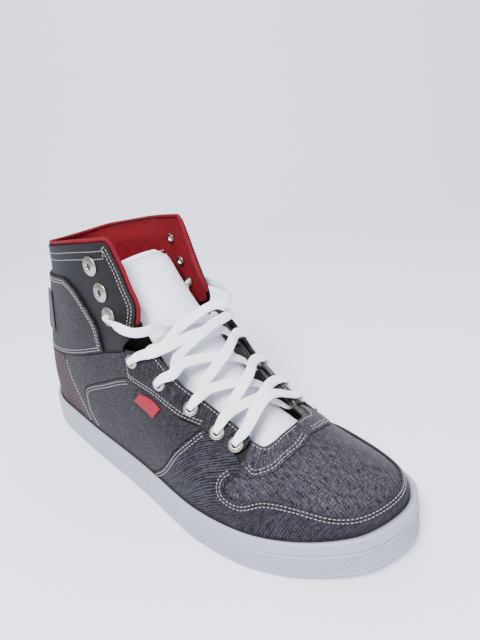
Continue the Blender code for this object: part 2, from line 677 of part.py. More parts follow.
def build_heel():
    """Heel overlay and the stiff counter behind it."""
    edge = shift(HEEL_EDGE[:-1], -SEAM, 0) + [(0.262 - SEAM, 0.372 - SEAM)]
    top = mirror([edge[-1]]) + shift([(-0.14, 0.338), (0.0, 0.325), (0.14, 0.338)], 0, -SEAM)
    top.append(edge[-1])
    grid = patch([(-edge[0][0], 0.0), edge[0]], top, mirror(edge), edge, 25, 7)
    shell("heel_overlay", with_margin(grid), OUTER, "maroon")
    grid = patch([(-0.34, 0.0), (0.34, 0.0)], [(-0.25, 0.30), (0.0, 0.28), (0.25, 0.30)],
                 [(-0.34, 0.0), (-0.25, 0.30)], [(0.34, 0.0), (0.25, 0.30)], 25, 5)
    shell("heel_counter", with_margin(grid)[3:], INNER, "stiffener")


def build_linings():
    """Black lower lining, red collar lining and the padding between them and the upper."""
    steps = [0.0, 0.03, 0.07, 0.13, 0.19, 0.25, 0.31, 0.37, 0.43, 0.48, 0.52, 0.545, 0.575, 0.61, 0.65,
             0.69, 0.73, 0.77, 0.81, 0.835, 0.845, 0.852, 0.875, 0.895, 0.915, 0.935, 0.953,
             0.968, 0.981, 0.991, 1.0]
    tops = [(0.0, 0.500), (0.25, 0.505), (0.43, 0.545), (0.53, 0.555), (0.60, 0.570),
            (0.656, 0.588), (0.686, 0.612), (0.725, 0.656), (0.768, 0.686), (0.812, 0.698),
            (0.835, 0.720), (0.845, 0.860), (0.852, 1.0), (1.0, 1.0)]
    loop = [-u for u in reversed(steps[1:-1])] + steps
    loop = loop + [loop[0]]
    grid = []
    for share in (0.0, 0.25, 0.48, 0.68, 0.85, 1.0):
        row = []
        for u in loop:
            high = np.interp(abs(u), [p[0] for p in tops], [p[1] for p in tops])
            row.append((u, high * share))
        grid.append(row)
    low = shell("lower_lining", with_margin(grid), LINER, "black_lining")

    low_edge = [(-0.548, 0.620), (-0.50, 0.585), (-0.43, 0.557), (-0.25, 0.518), (0.0, 0.512),
                (0.25, 0.518), (0.43, 0.557), (0.50, 0.585), (0.548, 0.620)]
    front = [low_edge[-1]] + COLLAR_FRONT[2:]
    grid = patch(low_edge, [(-0.490, 1.0), (0.490, 1.0)], mirror(front), front, 31, 7)
    high = shell("collar_lining", grid, LINER, "red_lining", padding)

    foam = []
    for v in np.linspace(0.60, 0.94, 6):
        foam.append([(u, v) for u in np.linspace(-0.385, 0.385, 27)])
    foam_shell(foam)
    return low, high


def foam_shell(grid):
    """Collar foam: its outer face follows the panels, its inner face the lining."""
    rows = len(grid)
    columns = len(grid[0])
    outside = []
    inside = []
    for row in grid:
        for u, v in row:
            outside.append(place(u, v, LINER_TOP))
            inside.append(place(u, v, LINER_TOP + 3 * GAP - padding(u, v)))
    count = rows * columns
    faces = []
    for j in range(rows - 1):
        for i in range(columns - 1):
            a = j * columns + i
            faces.append((a, a + 1, a + columns + 1, a + columns))
    solid = list(faces)
    solid += [tuple(k + count for k in reversed(face)) for face in faces]
    for first, second in boundary_edges(faces):
        solid.append((second, first, first + count, second + count))
    make_object("collar_foam", outside + inside, solid, "foam")


def build_piping():
    """Red piping along the front edges and the rim of the collar."""
    edge = COLLAR_FRONT[2:-1] + [(0.492, 1.0)]
    half = list(resample(edge, 13))
    rim = [(u, 1.0) for u in (0.45, 0.40, 0.34, 0.28, 0.22, 0.16, 0.11, 0.06, 0.0)]
    run = [tuple(p) for p in half] + rim
    run = run + mirror(run[-2::-1])
    middle = (INNER[1] + LINER[0]) / 2
    centres = []
    for index, (u, v) in enumerate(run):
        before = skin(*run[max(index - 1, 0)])
        after = skin(*run[min(index + 1, len(run) - 1)])
        normal = skin_normal(u, v)
        away = np.cross(normal, after - before)
        away /= np.linalg.norm(away)
        if away @ (skin(u, v) - np.array([-0.25 * SOLE_LENGTH, 0, 0.4 * COLLAR_HEIGHT])) < 0:
            away = -away
        centres.append(place(u, v, middle) + away * (PIPING_RADIUS + GAP + 0.0001))
    loft("collar_piping", tube_rings(centres, PIPING_RADIUS, 6), "red_lining")


def tube_rings(centres, radius, sides):
    """Rings of a round tube along a run of points."""
    rings = []
    across = None
    for index, centre in enumerate(centres):
        along = centres[min(index + 1, len(centres) - 1)] - centres[max(index - 1, 0)]
        along = along / np.linalg.norm(along)
        if across is None:
            across = np.cross(along, [0.3, 1.0, 0.2])
        across = across - along * (across @ along)
        across = across / np.linalg.norm(across)
        other = np.cross(along, across)
        ring = []
        for k in range(sides):
            angle = 2 * math.pi * k / sides
            ring.append(centre + radius * (across * math.cos(angle) + other * math.sin(angle)))
        rings.append(ring)
    return rings


# ---- eyelets ------------------------------------------------------------------------------
def eyelet_frame(sign, number):
    """Centre on the skin, outward direction and two directions across it."""
    u, v = EYELETS[number]
    normal = skin_normal(sign * u, v)
    centre = skin(sign * u, v)
    across = np.cross(normal, [0.0, 0.0, 1.0])
    across /= np.linalg.norm(across)
    return centre, normal, across, np.cross(normal, across)


def build_eyelets():
    """Sixteen metal eyelets, each a flanged barrel through its panel and lining."""
    for number in range(len(EYELETS)):
        wide = number in WASHER_EYELETS
        seat = (INNER[1] if wide else OUTER[1]) + GAP + 0.0001
        rim = WASHER_RADIUS if wide else RING_RADIUS
        back = LINER[0] - LAYER_GAP
        profile = [(BARREL_BORE, seat + 0.0006), (rim - 0.0008, seat + 0.0009),
                   (rim, seat + 0.0003), (rim - 0.0003, seat), (BARREL_RADIUS, seat),
                   (BARREL_RADIUS, back), (BACK_FLANGE_RADIUS, back),
                   (BARREL_BORE, back - 0.0006)]
        for sign, side in ((1, "lateral"), (-1, "medial")):
            centre, normal, across, other = eyelet_frame(sign, number)
            rings = []
            for k in range(EYELET_SIDES):
                angle = 2 * math.pi * k / EYELET_SIDES
                out = across * math.cos(angle) + other * math.sin(angle)
                rings.append([centre + out * radius + normal * depth for radius, depth in profile])
            loft("{}_eyelet_{}".format(side, number + 1), rings, "metal", closed=True)


def punch_holes(panels):
    """Cut the lace holes through panels and linings."""
    rings = []
    points = []
    faces = []
    for number in range(len(EYELETS)):
        for sign in (1, -1):
            centre, normal, across, other = eyelet_frame(sign, number)
            start = len(points)
            for depth in (LINER[0] - 0.004, 0.004):
                for k in range(EYELET_SIDES):
                    angle = 2 * math.pi * k / EYELET_SIDES
                    out = across * math.cos(angle) + other * math.sin(angle)
                    points.append(centre + out * HOLE_RADIUS + normal * depth)
            for k in range(EYELET_SIDES):
                m = (k + 1) % EYELET_SIDES
                faces.append((start + k, start + m, start + EYELET_SIDES + m,
                              start + EYELET_SIDES + k))
            faces.append(tuple(start + k for k in reversed(range(EYELET_SIDES))))
            faces.append(tuple(start + EYELET_SIDES + k for k in range(EYELET_SIDES)))
    cutter = make_object("eyelet_hole_cutter", points, faces, "metal")
    PARTS.objects.unlink(cutter)
    CUTTERS.objects.link(cutter)
    cutter.hide_render = True
    cutter.display_type = "WIRE"
    for panel in panels:
        hole = panel.modifiers.new("lace_holes", "BOOLEAN")
        hole.operation = "DIFFERENCE"
        hole.solver = "EXACT"
        hole.object = cutter


# ---- lace ---------------------------------------------------------------------------------
def lace_half(first_side):
    """Run of the lace from the middle of its lowest bar to the end of one free end.

    Each entry is a point, the outward direction there, and the width of the lace.
    """
    half = LACE_THICKNESS / 2
    under = LINER[0] - GAP - half
    over = GAP + half
    top = skin_normal(first_side * ROW_MIDDLE[0], 0.998)
    run = [(place(ROW_MIDDLE[0], 1.0, BAR_LIFT), top, LACE_WIDTH)]
    side = first_side
    for number in range(LACED_ROWS):
        u, v = EYELETS[number]
        seat = INNER[1] if number in WASHER_EYELETS else OUTER[1]
        above = seat + EYELET_RISE + GAP + half
        edge = FLAP_EDGE[number]
        if number == LACED_ROWS - 1:
            run += loop_stations(side)
        else:
            if 0 < number < LACED_ROWS - 2:
                run.append(entry(side, mix(edge, (crossing, 1.0), ARM), 0.45 * drop))
            run.append(entry(side, edge, over + 0.0010))
            near = mix(EYELETS[number], edge, 0.45)
            run.append(entry(side, near, above + 0.0003, 0.85 * LACE_WIDTH))
        run.append(entry(side, (u, v), above + 0.0003, 1.2 * LACE_FOLDED, True))
        run.append(entry(side, (u, v), seat - 0.0008, LACE_FOLDED, True))
        run.append(entry(side, (u, v), LINER[0] - 0.0024, LACE_FOLDED, True))
        if number < LACED_ROWS - 1:
            crossing = (ROW_MIDDLE[number] + ROW_MIDDLE[number + 1]) / 2
            leave = mix(near, (crossing, 1.0), 0.03)
            run.append(entry(side, leave, under - 0.0016, 0.85 * LACE_WIDTH))
            edge_out = mix(edge, (crossing, 1.0), 0.06)
            run.append(entry(side, edge_out, under - 0.0010))
            if number < LACED_ROWS - 2:
                drop = -CROSSING_DEPTH[number] + (CROSSING_STEP if side == 1 else 0.0)
                low = 0.85 * (under - 0.0010) + 0.15 * drop
                run.append(entry(side, mix(edge, (crossing, 1.0), ARM), low))
                run.append(entry(side, (crossing, 1.0), drop))
            side = -side
    for u, v, depth in TAIL_LINING:
        run.append(entry(side, (u, v), LINER[0] - padding(u, v) - GAP - half - depth))
    up = np.array([0, 0, 1.0])
    for x, y, lift in TAIL_FOOTBED[side]:
        x = x * X_SCALE
        point = np.array([x, y * Y_SCALE, footbed_height(x) + lift / 1000])
        run.append((point, up, LACE_WIDTH))
    return run


def loop_stations(side):
    """Slack top strand that crosses the tongue to the sixth eyelet of a side."""
    stations = []
    for point, outward in LOOP[side]:
        placed = np.array(point) * np.array([X_SCALE, Y_SCALE, Z_SCALE])
        stations.append((placed, np.array(outward), LACE_WIDTH))
    return stations


def mix(first, second, share):
    """Place part of the way from one place to another."""
    return tuple(a * (1 - share) + b * share for a, b in zip(first, second))


def entry(side, where, depth, width=LACE_WIDTH, hole=False):
    """One station of the lace on the skin; in a hole the width direction carries on."""
    u, v = where
    return place(side * u, v, depth), None if hole else skin_normal(side * u, v), width


def build_lace():
    """One flat lace through six pairs of eyelets, both ends tucked inside."""
    first = lace_half(1)
    second = lace_half(-1)
    run = list(reversed(second[1:])) + first
    points = [item[0] for item in run]
    rings = []
    across = None
    for index, (point, normal, width) in enumerate(run):
        along = points[min(index + 1, len(run) - 1)] - points[max(index - 1, 0)]
        along = along / np.linalg.norm(along)
        fresh = across if normal is None else np.cross(along, normal)
        if across is not None and fresh @ across < 0:
            fresh = -fresh
        across = fresh - along * (fresh @ along)
        across = across / np.linalg.norm(across)
        flat = np.cross(along, across)
        side = across * width / 2
        edge = flat * LACE_THICKNESS / 2
        rings.append([point - 0.8 * side - edge, point + 0.8 * side - edge, point + side,
                      point + 0.8 * side + edge, point - 0.8 * side + edge, point - side])
    loft("lace", rings, "lace")
    for name, tip, before in (("lace_tip_lateral", 0, 1), ("lace_tip_medial", -1, -2)):
        along = points[tip] - points[before]
        along = along / np.linalg.norm(along)
        start = points[tip] + along * GAP
        centres = [start, start + along * AGLET_LENGTH]
        loft(name, tube_rings(centres, AGLET_RADIUS, 8), "aglet_plastic")


# ---- tongue -------------------------------------------------------------------------------
def tongue_point(share, across, depth):
    """Point of the tongue; share runs from the sewn end to the top, across is -1 to 1."""
    along = np.linspace(0, 1, len(TONGUE))
    rows = np.array(TONGUE)
    x, z, width, droop = (np.interp(share, along, rows[:, k]) for k in range(4))
    later = min(share + 0.02, 1.0)
    earlier = max(share - 0.02, 0.0)
    dx = (np.interp(later, along, rows[:, 0]) - np.interp(earlier, along, rows[:, 0])) * X_SCALE
    dz = (np.interp(later, along, rows[:, 1]) - np.interp(earlier, along, rows[:, 1])) * Z_SCALE
    normal = np.array([dz, 0.0, -dx])
    normal /= np.linalg.norm(normal)
    down = depth - droop * Z_SCALE * across ** 2
    point = np.array([x * X_SCALE, -across * width * Y_SCALE, z * Z_SCALE])
    return point + normal * down


def build_tongue():
    """Tongue: woven face, foam and lining in one sandwich, sewn in at its toe end."""
    layers = [("tongue_face", 0.0, TONGUE_FACE, "white_textile", 0),
              ("tongue_foam", TONGUE_FACE + LAYER_GAP, TONGUE_FOAM, "foam", 1),
              ("tongue_lining", TONGUE_FACE + TONGUE_FOAM + 2 * LAYER_GAP, TONGUE_LINING,
               "white_textile", 0)]
    shares = np.linspace(0, 1, TONGUE_ROWS)
    for name, start, thickness, material, trimmed in layers:
        rings = []
        for share in shares[trimmed:TONGUE_ROWS - trimmed]:
            reach = (1 - 0.25 * smooth(share, 0.90, 1.0)) * (1 - 0.03 * trimmed)
            upper = []
            lower = []
            for across in np.linspace(-reach, reach, 7):
                upper.append(tongue_point(share, across, -start))
                lower.append(tongue_point(share, across, -start - thickness))
            rings.append(upper + lower[::-1])
        loft(name, rings, material)


# ---- small trim ---------------------------------------------------------------------------
def build_trim():
    """Side tab and the oval embroidered badge at the ankle."""
    grid = patch([TAB[0], TAB[1]], [TAB[3], TAB[2]], [TAB[0], TAB[3]], [TAB[1], TAB[2]], 4, 3)
    shell("side_tab", grid, TRIM_LEVEL, "red_tab")
    grid = patch([BADGE[0], BADGE[1]], [BADGE[3], BADGE[2]],
                 [BADGE[0], BADGE[3]], [BADGE[1], BADGE[2]], 4, 6)
    shell("ankle_badge", grid, TRIM_LEVEL, "embroidery")


def centre_on_origin():
    """Put the middle of the sole's outline over the origin."""
    corners = [vertex.co for vertex in PARTS.objects["outsole_cup"].data.vertices]
    middle = []
    for axis in (0, 1):
        values = [corner[axis] for corner in corners]
        middle.append((min(values) + max(values)) / 2)
    move = Matrix.Translation((-middle[0], -middle[1], 0.0))
    for obj in list(PARTS.objects) + list(CUTTERS.objects):
        obj.data.transform(move)


clear_scene()
PARTS = make_collection(NAME)
CUTTERS = make_collection("cutters")
SKIN = build_skin()
build_sole()
PANELS = []
for SIGN, SIDE in ((1, "lateral"), (-1, "medial")):
    PANELS += build_side(SIGN, SIDE)
build_toe()
build_heel()
PANELS += build_linings()
build_piping()
build_eyelets()
punch_holes(PANELS)
build_tongue()
build_lace()
build_trim()
centre_on_origin()
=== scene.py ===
"""Looks of the basketball high top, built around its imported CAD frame.

+X points to the toe, -Y is the outer side, +Z is up, metres.  Panels lie on one skin whose
places are (u, v): u runs from the heel (0) to the toe tip (+1 outer side, -1 inner side),
v from the sole's top edge (0) to the collar rim or the middle line (1).
"""
import json
import math

import bmesh
import bpy
import numpy as np
from mathutils import Matrix, Vector


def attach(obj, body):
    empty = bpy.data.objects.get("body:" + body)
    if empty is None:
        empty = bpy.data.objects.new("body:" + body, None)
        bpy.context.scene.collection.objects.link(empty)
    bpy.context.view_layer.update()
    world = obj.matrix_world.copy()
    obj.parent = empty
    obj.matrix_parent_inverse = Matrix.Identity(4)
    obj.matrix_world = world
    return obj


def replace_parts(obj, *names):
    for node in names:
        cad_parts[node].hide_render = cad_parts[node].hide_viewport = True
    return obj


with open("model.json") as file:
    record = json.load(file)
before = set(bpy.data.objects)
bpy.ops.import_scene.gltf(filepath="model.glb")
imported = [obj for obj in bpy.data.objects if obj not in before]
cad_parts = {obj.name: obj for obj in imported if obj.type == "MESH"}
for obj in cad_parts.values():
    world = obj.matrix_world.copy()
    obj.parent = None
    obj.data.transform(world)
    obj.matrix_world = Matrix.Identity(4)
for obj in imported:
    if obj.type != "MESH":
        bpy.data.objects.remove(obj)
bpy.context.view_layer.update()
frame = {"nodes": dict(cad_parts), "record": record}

# ---- sizes shared with the CAD model, metres --------------------------------------------
SOLE_LENGTH = 0.305
SOLE_WIDTH = 0.1075
COLLAR_HEIGHT = 0.160
SOLE_HEIGHT = 0.022
TOE_SPRING = 0.009
HEEL_LIFT = 0.0015
PANEL = 0.0012
LAYER_GAP = 0.0007
LINING = 0.0008
PAD = 0.003
FRONT_EASE = 0.0008
SIDE_MARGIN = 0.0038
END_MARGIN = 0.0024
LIP_INSET = 0.0011
WALL_GAP = 0.0008
OUTER_TOP = 0.0
INNER_TOP = -PANEL - LAYER_GAP
LINER_TOP = INNER_TOP - PANEL - LAYER_GAP
REFERENCE = (0.305, 0.1075, 0.160)
X_SCALE = SOLE_LENGTH / REFERENCE[0] / 1000
Y_SCALE = SOLE_WIDTH / REFERENCE[1] / 1000
Z_SCALE = COLLAR_HEIGHT / REFERENCE[2] / 1000
SCALES = np.array([X_SCALE, Y_SCALE, Z_SCALE])

# The last: u, bottom x, half width outer, inner, top x, top half width, top z, rise and
# lean at the bottom, pull at the top along x, y, z, and the inner side's flatness.
LAST = np.array([
    (0.00, -146.0, 0.0, 0.0, -108.0, 0.0, 148.0, 44, 2, -13, 0.0, -40.0, 1.00),
    (0.07, -140.5, 19.0, 18.0, -104.0, 16.5, 148.7, 44, 2, -12, -1.5, -40.0, 1.00),
    (0.15, -124.0, 29.5, 28.5, -94.0, 27.0, 150.0, 44, 2, -8, -1.5, -40.0, 1.00),
    (0.27, -95.0, 34.5, 33.5, -74.0, 33.5, 152.6, 44, 3, -5, 0.5, -42.0, 1.00),
    (0.38, -62.0, 38.5, 31.5, -49.0, 35.5, 156.6, 42, 4, -3, 2.0, -44.0, 1.00),
    (0.48, -25.0, 42.0, 31.5, -22.0, 33.0, 160.0, 40, 3, 2, 4.0, -44.0, 1.00),
    (0.56, 5.0, 45.5, 35.0, -8.0, 21.0, 157.0, 34, 2, 6, 16.0, -36.0, 1.00),
    (0.62, 25.0, 48.5, 39.0, 5.0, 0.0, 138.0, 30, 2, 6, 34.0, -8.0, 0.90),
    (0.68, 42.0, 51.0, 43.0, 22.0, 0.0, 110.0, 27, 2, 4, 33.0, -5.0, 0.82),
    (0.74, 58.0, 51.8, 45.5, 42.0, 0.0, 87.0, 23, 2, 3, 31.0, -3.0, 0.74),
    (0.80, 76.0, 50.5, 46.3, 66.0, 0.0, 69.5, 19, 2, 2, 29.0, -1.5, 0.66),
    (0.86, 95.0, 46.0, 45.0, 88.0, 0.0, 60.0, 16, 2, 2, 28.0, -0.5, 0.60),
    (0.91, 115.0, 37.0, 39.5, 99.0, 0.0, 56.5, 14, 2, 15, 22.0, -1.5, 0.66),
    (0.95, 131.0, 26.0, 31.5, 99.0, 0.0, 56.5, 13, 2, 24, 15.0, -3.0, 0.75),
    (0.98, 141.5, 12.0, 21.0, 99.0, 0.0, 56.5, 12, 2, 28, 6.0, -3.5, 0.85),
    (1.00, 146.0, -6.0, 6.0, 99.0, 0.0, 56.5, 12, 2, 29, 0.0, -4.0, 0.92),
])
MIDDLE_U = 0.62
POLE_U = 0.91
WRAPPED = 3
UV_STEP = 0.001
SKIRT_V = -0.06
SKIRT_DROP = 0.06

EYELETS = [(0.794, 0.596), (0.762, 0.575), (0.710, 0.563), (0.631, 0.486),
           (0.556, 0.530), (0.483, 0.685), (0.463, 0.785), (0.439, 0.900)]
WASHER_EYELETS = (5, 6, 7)
ANKLE_SEAM = [(0.0, 0.325), (0.14, 0.338), (0.268, 0.378), (0.406, 0.470),
              (0.455, 0.508), (0.531, 0.560), (0.605, 0.572)]
HEEL_EDGE = [(0.342, 0.0), (0.318, 0.112), (0.290, 0.200), (0.266, 0.300), (0.262, 0.370)]
QUARTER_EDGE = [(0.380, 0.0), (0.362, 0.067), (0.358, 0.158), (0.363, 0.226), (0.394, 0.291),
                (0.455, 0.364), (0.512, 0.432), (0.534, 0.450)]
EYESTAY_LOW = [(0.534, 0.450), (0.570, 0.430), (0.612, 0.413), (0.673, 0.446), (0.738, 0.530)]
FRONT_SEAM = [(0.570, 0.0), (0.625, 0.140), (0.671, 0.282), (0.710, 0.410), (0.738, 0.530)]
THROAT = [(0.605, 0.572), (0.656, 0.590), (0.686, 0.616), (0.725, 0.660), (0.768, 0.690),
          (0.812, 0.702)]
COLLAR_FRONT = [(0.520, 0.555), (0.545, 0.610), (0.565, 0.672), (0.570, 0.732), (0.556, 0.809),
                (0.541, 0.884), (0.524, 0.945), (0.510, 0.985), (0.490, 1.0)]
PATCH_EDGE = [(0.0, 0.832), (0.223, 0.834), (0.318, 0.840), (0.366, 0.800), (0.397, 0.745),
              (0.422, 0.683), (0.441, 0.630), (0.455, 0.510)]
TOE_LINE = [(0.808, 0.600), (0.810, 0.500), (0.801, 0.405), (0.787, 0.310), (0.790, 0.260),
            (0.806, 0.245), (0.821, 0.255), (0.842, 0.315), (0.860, 0.365), (0.880, 0.385),
            (0.905, 0.375), (0.932, 0.320), (0.957, 0.278), (0.980, 0.266), (1.0, 0.266)]
VAMP_EDGE = [(0.778, 0.325), (0.778, 0.285), (0.779, 0.245), (0.787, 0.208), (0.802, 0.194),
             (0.820, 0.204), (0.838, 0.255), (0.857, 0.308), (0.880, 0.335), (0.905, 0.325),
             (0.932, 0.275), (0.957, 0.242), (0.980, 0.236), (1.0, 0.236)]
VAMP_REAR = [(0.325, 0.778), (0.700, 0.839), (1.0, 0.856)]
VAMP_CROWN = 0.905
APRON_OUTER = [(0.815, 0.500), (0.832, 0.478), (0.848, 0.520), (0.861, 0.590), (0.872, 0.730),
               (0.882, 0.862), (0.886, 1.0)]
APRON_INNER = [(0.816, 0.690), (0.824, 0.698), (0.833, 0.706), (0.841, 0.740), (0.846, 0.830),
               (0.850, 0.920), (0.852, 1.0)]
TAB = [(0.552, 0.368), (0.608, 0.330), (0.636, 0.398), (0.574, 0.409)]
BADGE = [(0.150, 0.500), (0.215, 0.500), (0.205, 0.735), (0.150, 0.735)]

TONGUE = np.array([
    (93.0, 49.5, 16.0, 4.0), (80.0, 53.0, 17.5, 5.5), (64.0, 59.0, 19.0, 8.0),
    (50.0, 66.5, 21.0, 9.0), (36.0, 77.0, 22.5, 8.5), (23.0, 88.0, 23.0, 7.0),
    (11.0, 99.0, 23.0, 6.0), (1.0, 109.5, 22.0, 5.0), (-8.0, 120.5, 21.5, 4.5),
    (-16.0, 131.0, 21.5, 4.0), (-22.5, 140.0, 21.0, 3.5), (-27.0, 145.5, 18.0, 3.0)])
TONGUE_DEPTH = 0.0070

# The lace, as in the CAD model.
LACE_WIDTH = 0.0062
LACE_THICKNESS = 0.0014
LACE_FOLDED = 0.0028
AGLET_LENGTH = 0.022
AGLET_RADIUS = 0.0015
LACED_ROWS = 6
ROW_MIDDLE = [0.800, 0.785, 0.748, 0.708, 0.676, 0.650]
FLAP_EDGE = [(0.800, 0.700), (0.768, 0.690), (0.722, 0.655), (0.665, 0.598), (0.622, 0.590),
             (0.580, 0.690)]
BAR_LIFT = 0.0030
CROSSING_DEPTH = [0.0030, 0.0038, 0.0044, 0.0062]
CROSSING_STEP = 0.0040
ARM = 0.28
EYELET_RISE = 0.0014
GAP = 0.0003
LOOP = {1: [((8.6, 3.0, 104.6), (0.65, 0.0, 0.76)), ((7.2, -9.0, 108.2), (0.68, -0.1, 0.7)),
            ((7.0, -19.0, 111.0), (0.75, -0.4, 0.5)), ((9.0, -29.0, 111.5), (0.75, -0.65, 0.1)),
            ((5.0, -37.2, 112.0), (0.35, -0.94, 0.0)), ((-7.0, -39.8, 113.8), (0.0, -1.0, 0.1))],
        -1: [((12.0, -12.0, 105.6), (0.65, 0.0, 0.76)), ((13.4, 0.0, 109.0), (0.65, 0.0, 0.76)),
             ((15.2, 12.0, 111.4), (0.65, 0.1, 0.7)), ((18.0, 24.0, 111.5), (0.75, 0.45, 0.4)),
             ((12.5, 33.5, 113.0), (0.5, 0.85, 0.1)), ((0.0, 37.0, 115.5), (0.1, 1.0, 0.0)),
             ((-10.0, 36.2, 116.2), (0.0, 1.0, 0.0))]}
TAIL_LINING = [(0.476, 0.615, 0.0022), (0.462, 0.540, 0.0012), (0.450, 0.430, 0.0014),
               (0.440, 0.320, 0.0016), (0.435, 0.210, 0.0022), (0.430, 0.110, 0.0040)]
TAIL_FOOTBED = {1: [(-52.0, -22.0, 1.2), (-68.0, -13.0, 1.2), (-84.0, -8.0, 2.4)],
                -1: [(-52.0, 14.0, 1.2), (-72.0, 12.0, 1.2), (-92.0, 9.0, 2.4)]}
FOOTBED_DROP = 0.0120

# ---- camera -----------------------------------------------------------------------------
CAMERA_TARGET = Vector((-0.01312, 0.06933, 0.07467))
CAMERA_AZIMUTH = math.radians(44.293)
CAMERA_ELEVATION = math.radians(23.566)
CAMERA_ROLL = math.radians(-6.575)
CAMERA_DISTANCE = 0.38690
CAMERA_LENS = 29.27


def make_camera():
    """Camera from the front on the outer side, close to the shoe."""
    back = Vector((math.sin(CAMERA_AZIMUTH) * math.cos(CAMERA_ELEVATION),
                   -math.cos(CAMERA_AZIMUTH) * math.cos(CAMERA_ELEVATION),
                   math.sin(CAMERA_ELEVATION)))
    right = (-back).cross(Vector((0, 0, 1))).normalized()
    up = right.cross(-back)
    side = right * math.cos(CAMERA_ROLL) + up * math.sin(CAMERA_ROLL)
    top = up * math.cos(CAMERA_ROLL) - right * math.sin(CAMERA_ROLL)
    data = bpy.data.cameras.new("camera")
    data.lens = CAMERA_LENS
    data.clip_start = 0.01
    camera = bpy.data.objects.new("camera", data)
    bpy.context.scene.collection.objects.link(camera)
    turn = Matrix((side, top, back)).transposed().to_4x4()
    camera.matrix_world = Matrix.Translation(CAMERA_TARGET + back * CAMERA_DISTANCE) @ turn
    bpy.context.scene.camera = camera


# ---- skin -------------------------------------------------------------------------------
def natural_spline(knots, values):
    """Natural cubic spline through rows of values, for arrays of places."""
    count = len(knots)
    step = np.diff(knots)
    system = np.zeros((count, count))
    right = np.zeros_like(values)
    system[0, 0] = 1.0
    system[-1, -1] = 1.0
    for i in range(1, count - 1):
        system[i, i - 1:i + 2] = step[i - 1], 2 * (step[i - 1] + step[i]), step[i]
        slope_after = (values[i + 1] - values[i]) / step[i]
        slope_before = (values[i] - values[i - 1]) / step[i - 1]
        right[i] = 6 * (slope_after - slope_before)
    bend = np.linalg.solve(system, right)

    def value_at(t):
        i = np.clip(np.searchsorted(knots, t) - 1, 0, count - 2)
        before = (knots[i + 1] - t)[..., None]
        after = (t - knots[i])[..., None]
        span = step[i][..., None]
        return (bend[i] * before ** 3 / (6 * span) + bend[i + 1] * after ** 3 / (6 * span)
                + (values[i] / span - bend[i] * span / 6) * before
                + (values[i + 1] / span - bend[i + 1] * span / 6) * after)

    return value_at


def toe_rise(x):
    """Height the toe end of the sole turns up by."""
    return TOE_SPRING * np.clip((x - 0.279 * SOLE_LENGTH) / (0.22 * SOLE_LENGTH), 0, 1) ** 2


def sole_top(x):
    """Height of the sole's top edge."""
    heel = np.clip((-0.131 * SOLE_LENGTH - x) / (0.36 * SOLE_LENGTH), 0, 1)
    return SOLE_HEIGHT + toe_rise(x) + HEEL_LIFT * heel


def side_rows(rows, sign, flatten):
    """Control points of the sections on one side."""
    width = rows[:, 2] if sign < 0 else rows[:, 3]
    x = rows[:, 1] * X_SCALE
    bottoms = np.stack([x, sign * width * Y_SCALE, sole_top(x)], axis=1)
    tops = rows[:, 4:7] * SCALES * np.array([1, sign, 1])
    flatness = rows[:, 12] if flatten else np.where(rows[:, 0] == 1.0, rows[:, 12], 1.0)
    pulls = rows[:, 9:12] * SCALES * np.array([1, sign, 1]) * flatness[:, None]
    return bottoms, tops, pulls, rows[:, 7] * Z_SCALE * flatness, rows[:, 8] * Y_SCALE


def wrap(rows):
    """Repeat rows past both ends so that the toe tip is smooth."""
    return np.concatenate([rows[-WRAPPED - 1:-1], rows, rows[1:WRAPPED + 1]])


def plan_normal(outline, u):
    """Horizontal directions pointing out of the shoe at places u."""
    along = outline(u - UV_STEP) - outline(u + UV_STEP)
    normal = np.stack([-along[..., 1], along[..., 0], np.zeros_like(u)], axis=-1)
    normal /= np.linalg.norm(normal, axis=-1, keepdims=True)
    here = outline(u) * np.array([0.25, 1.0, 0.0])
    inward = np.sum(normal * here, axis=-1, keepdims=True) < 0
    return np.where(inward, -normal, normal)


def build_skin():
    """Splines of the four control points of each section."""
    outer = side_rows(LAST, -1, False)
    inner = side_rows(LAST[1:][::-1], 1, True)
    bottoms, tops, pulls, rises, leans = (wrap(np.concatenate(pair))
                                          for pair in zip(inner, outer))
    knots = np.concatenate([-LAST[1:, 0][::-1], LAST[:, 0]])
    knots = np.concatenate([knots[-WRAPPED - 1:-1] - 2.0, knots, knots[1:WRAPPED + 1] + 2.0])
    outline = natural_spline(knots, bottoms)
    outward = plan_normal(outline, knots)
    lower = bottoms + outward * leans[:, None] + np.array([0, 0, 1.0]) * rises[:, None]
    return (outline, natural_spline(knots, lower), natural_spline(knots, tops + pulls),
            natural_spline(knots, tops))


def skin(u, v):
    """Points of the skin; below v = 0 it drops straight behind the sole's lip."""
    u = np.where(u > 1.0, u - 2.0, u)
    start, lower, upper, end = (curve(u) for curve in SKIN)
    end = np.where((np.abs(u) >= POLE_U)[..., None], SKIN[3](np.ones_like(u)), end)
    end = np.where((np.abs(u) >= MIDDLE_U)[..., None], end * np.array([1.0, 0.0, 1.0]), end)
    t = np.clip(v, 0, 1)[..., None]
    w = 1 - t
    drop = np.minimum(v, 0)[..., None] * np.array([0, 0, SKIRT_DROP])
    curve = start * w ** 3 + 3 * lower * w * w * t + 3 * upper * w * t * t + end * t ** 3
    return curve + drop + SHIFT


def skin_normal(u, v):
    """Directions pointing out of the shoe at places on the skin."""
    v = np.clip(v, 2 * UV_STEP, 1 - 2 * UV_STEP)
    across = skin(u + UV_STEP, v) - skin(u - UV_STEP, v)
    upward = skin(u, v + UV_STEP) - skin(u, v - UV_STEP)
    normal = np.cross(across, upward)
    return normal / np.linalg.norm(normal, axis=-1, keepdims=True)


def place(places, depth):
    """Points at a depth below (negative) or above the skin, for an array of (u, v)."""
    places = np.asarray(places, float)
    u, v = places[..., 0], places[..., 1]
    depth = np.broadcast_to(np.asarray(depth, float), u.shape)
    return skin(u, v) + skin_normal(u, v) * depth[..., None]


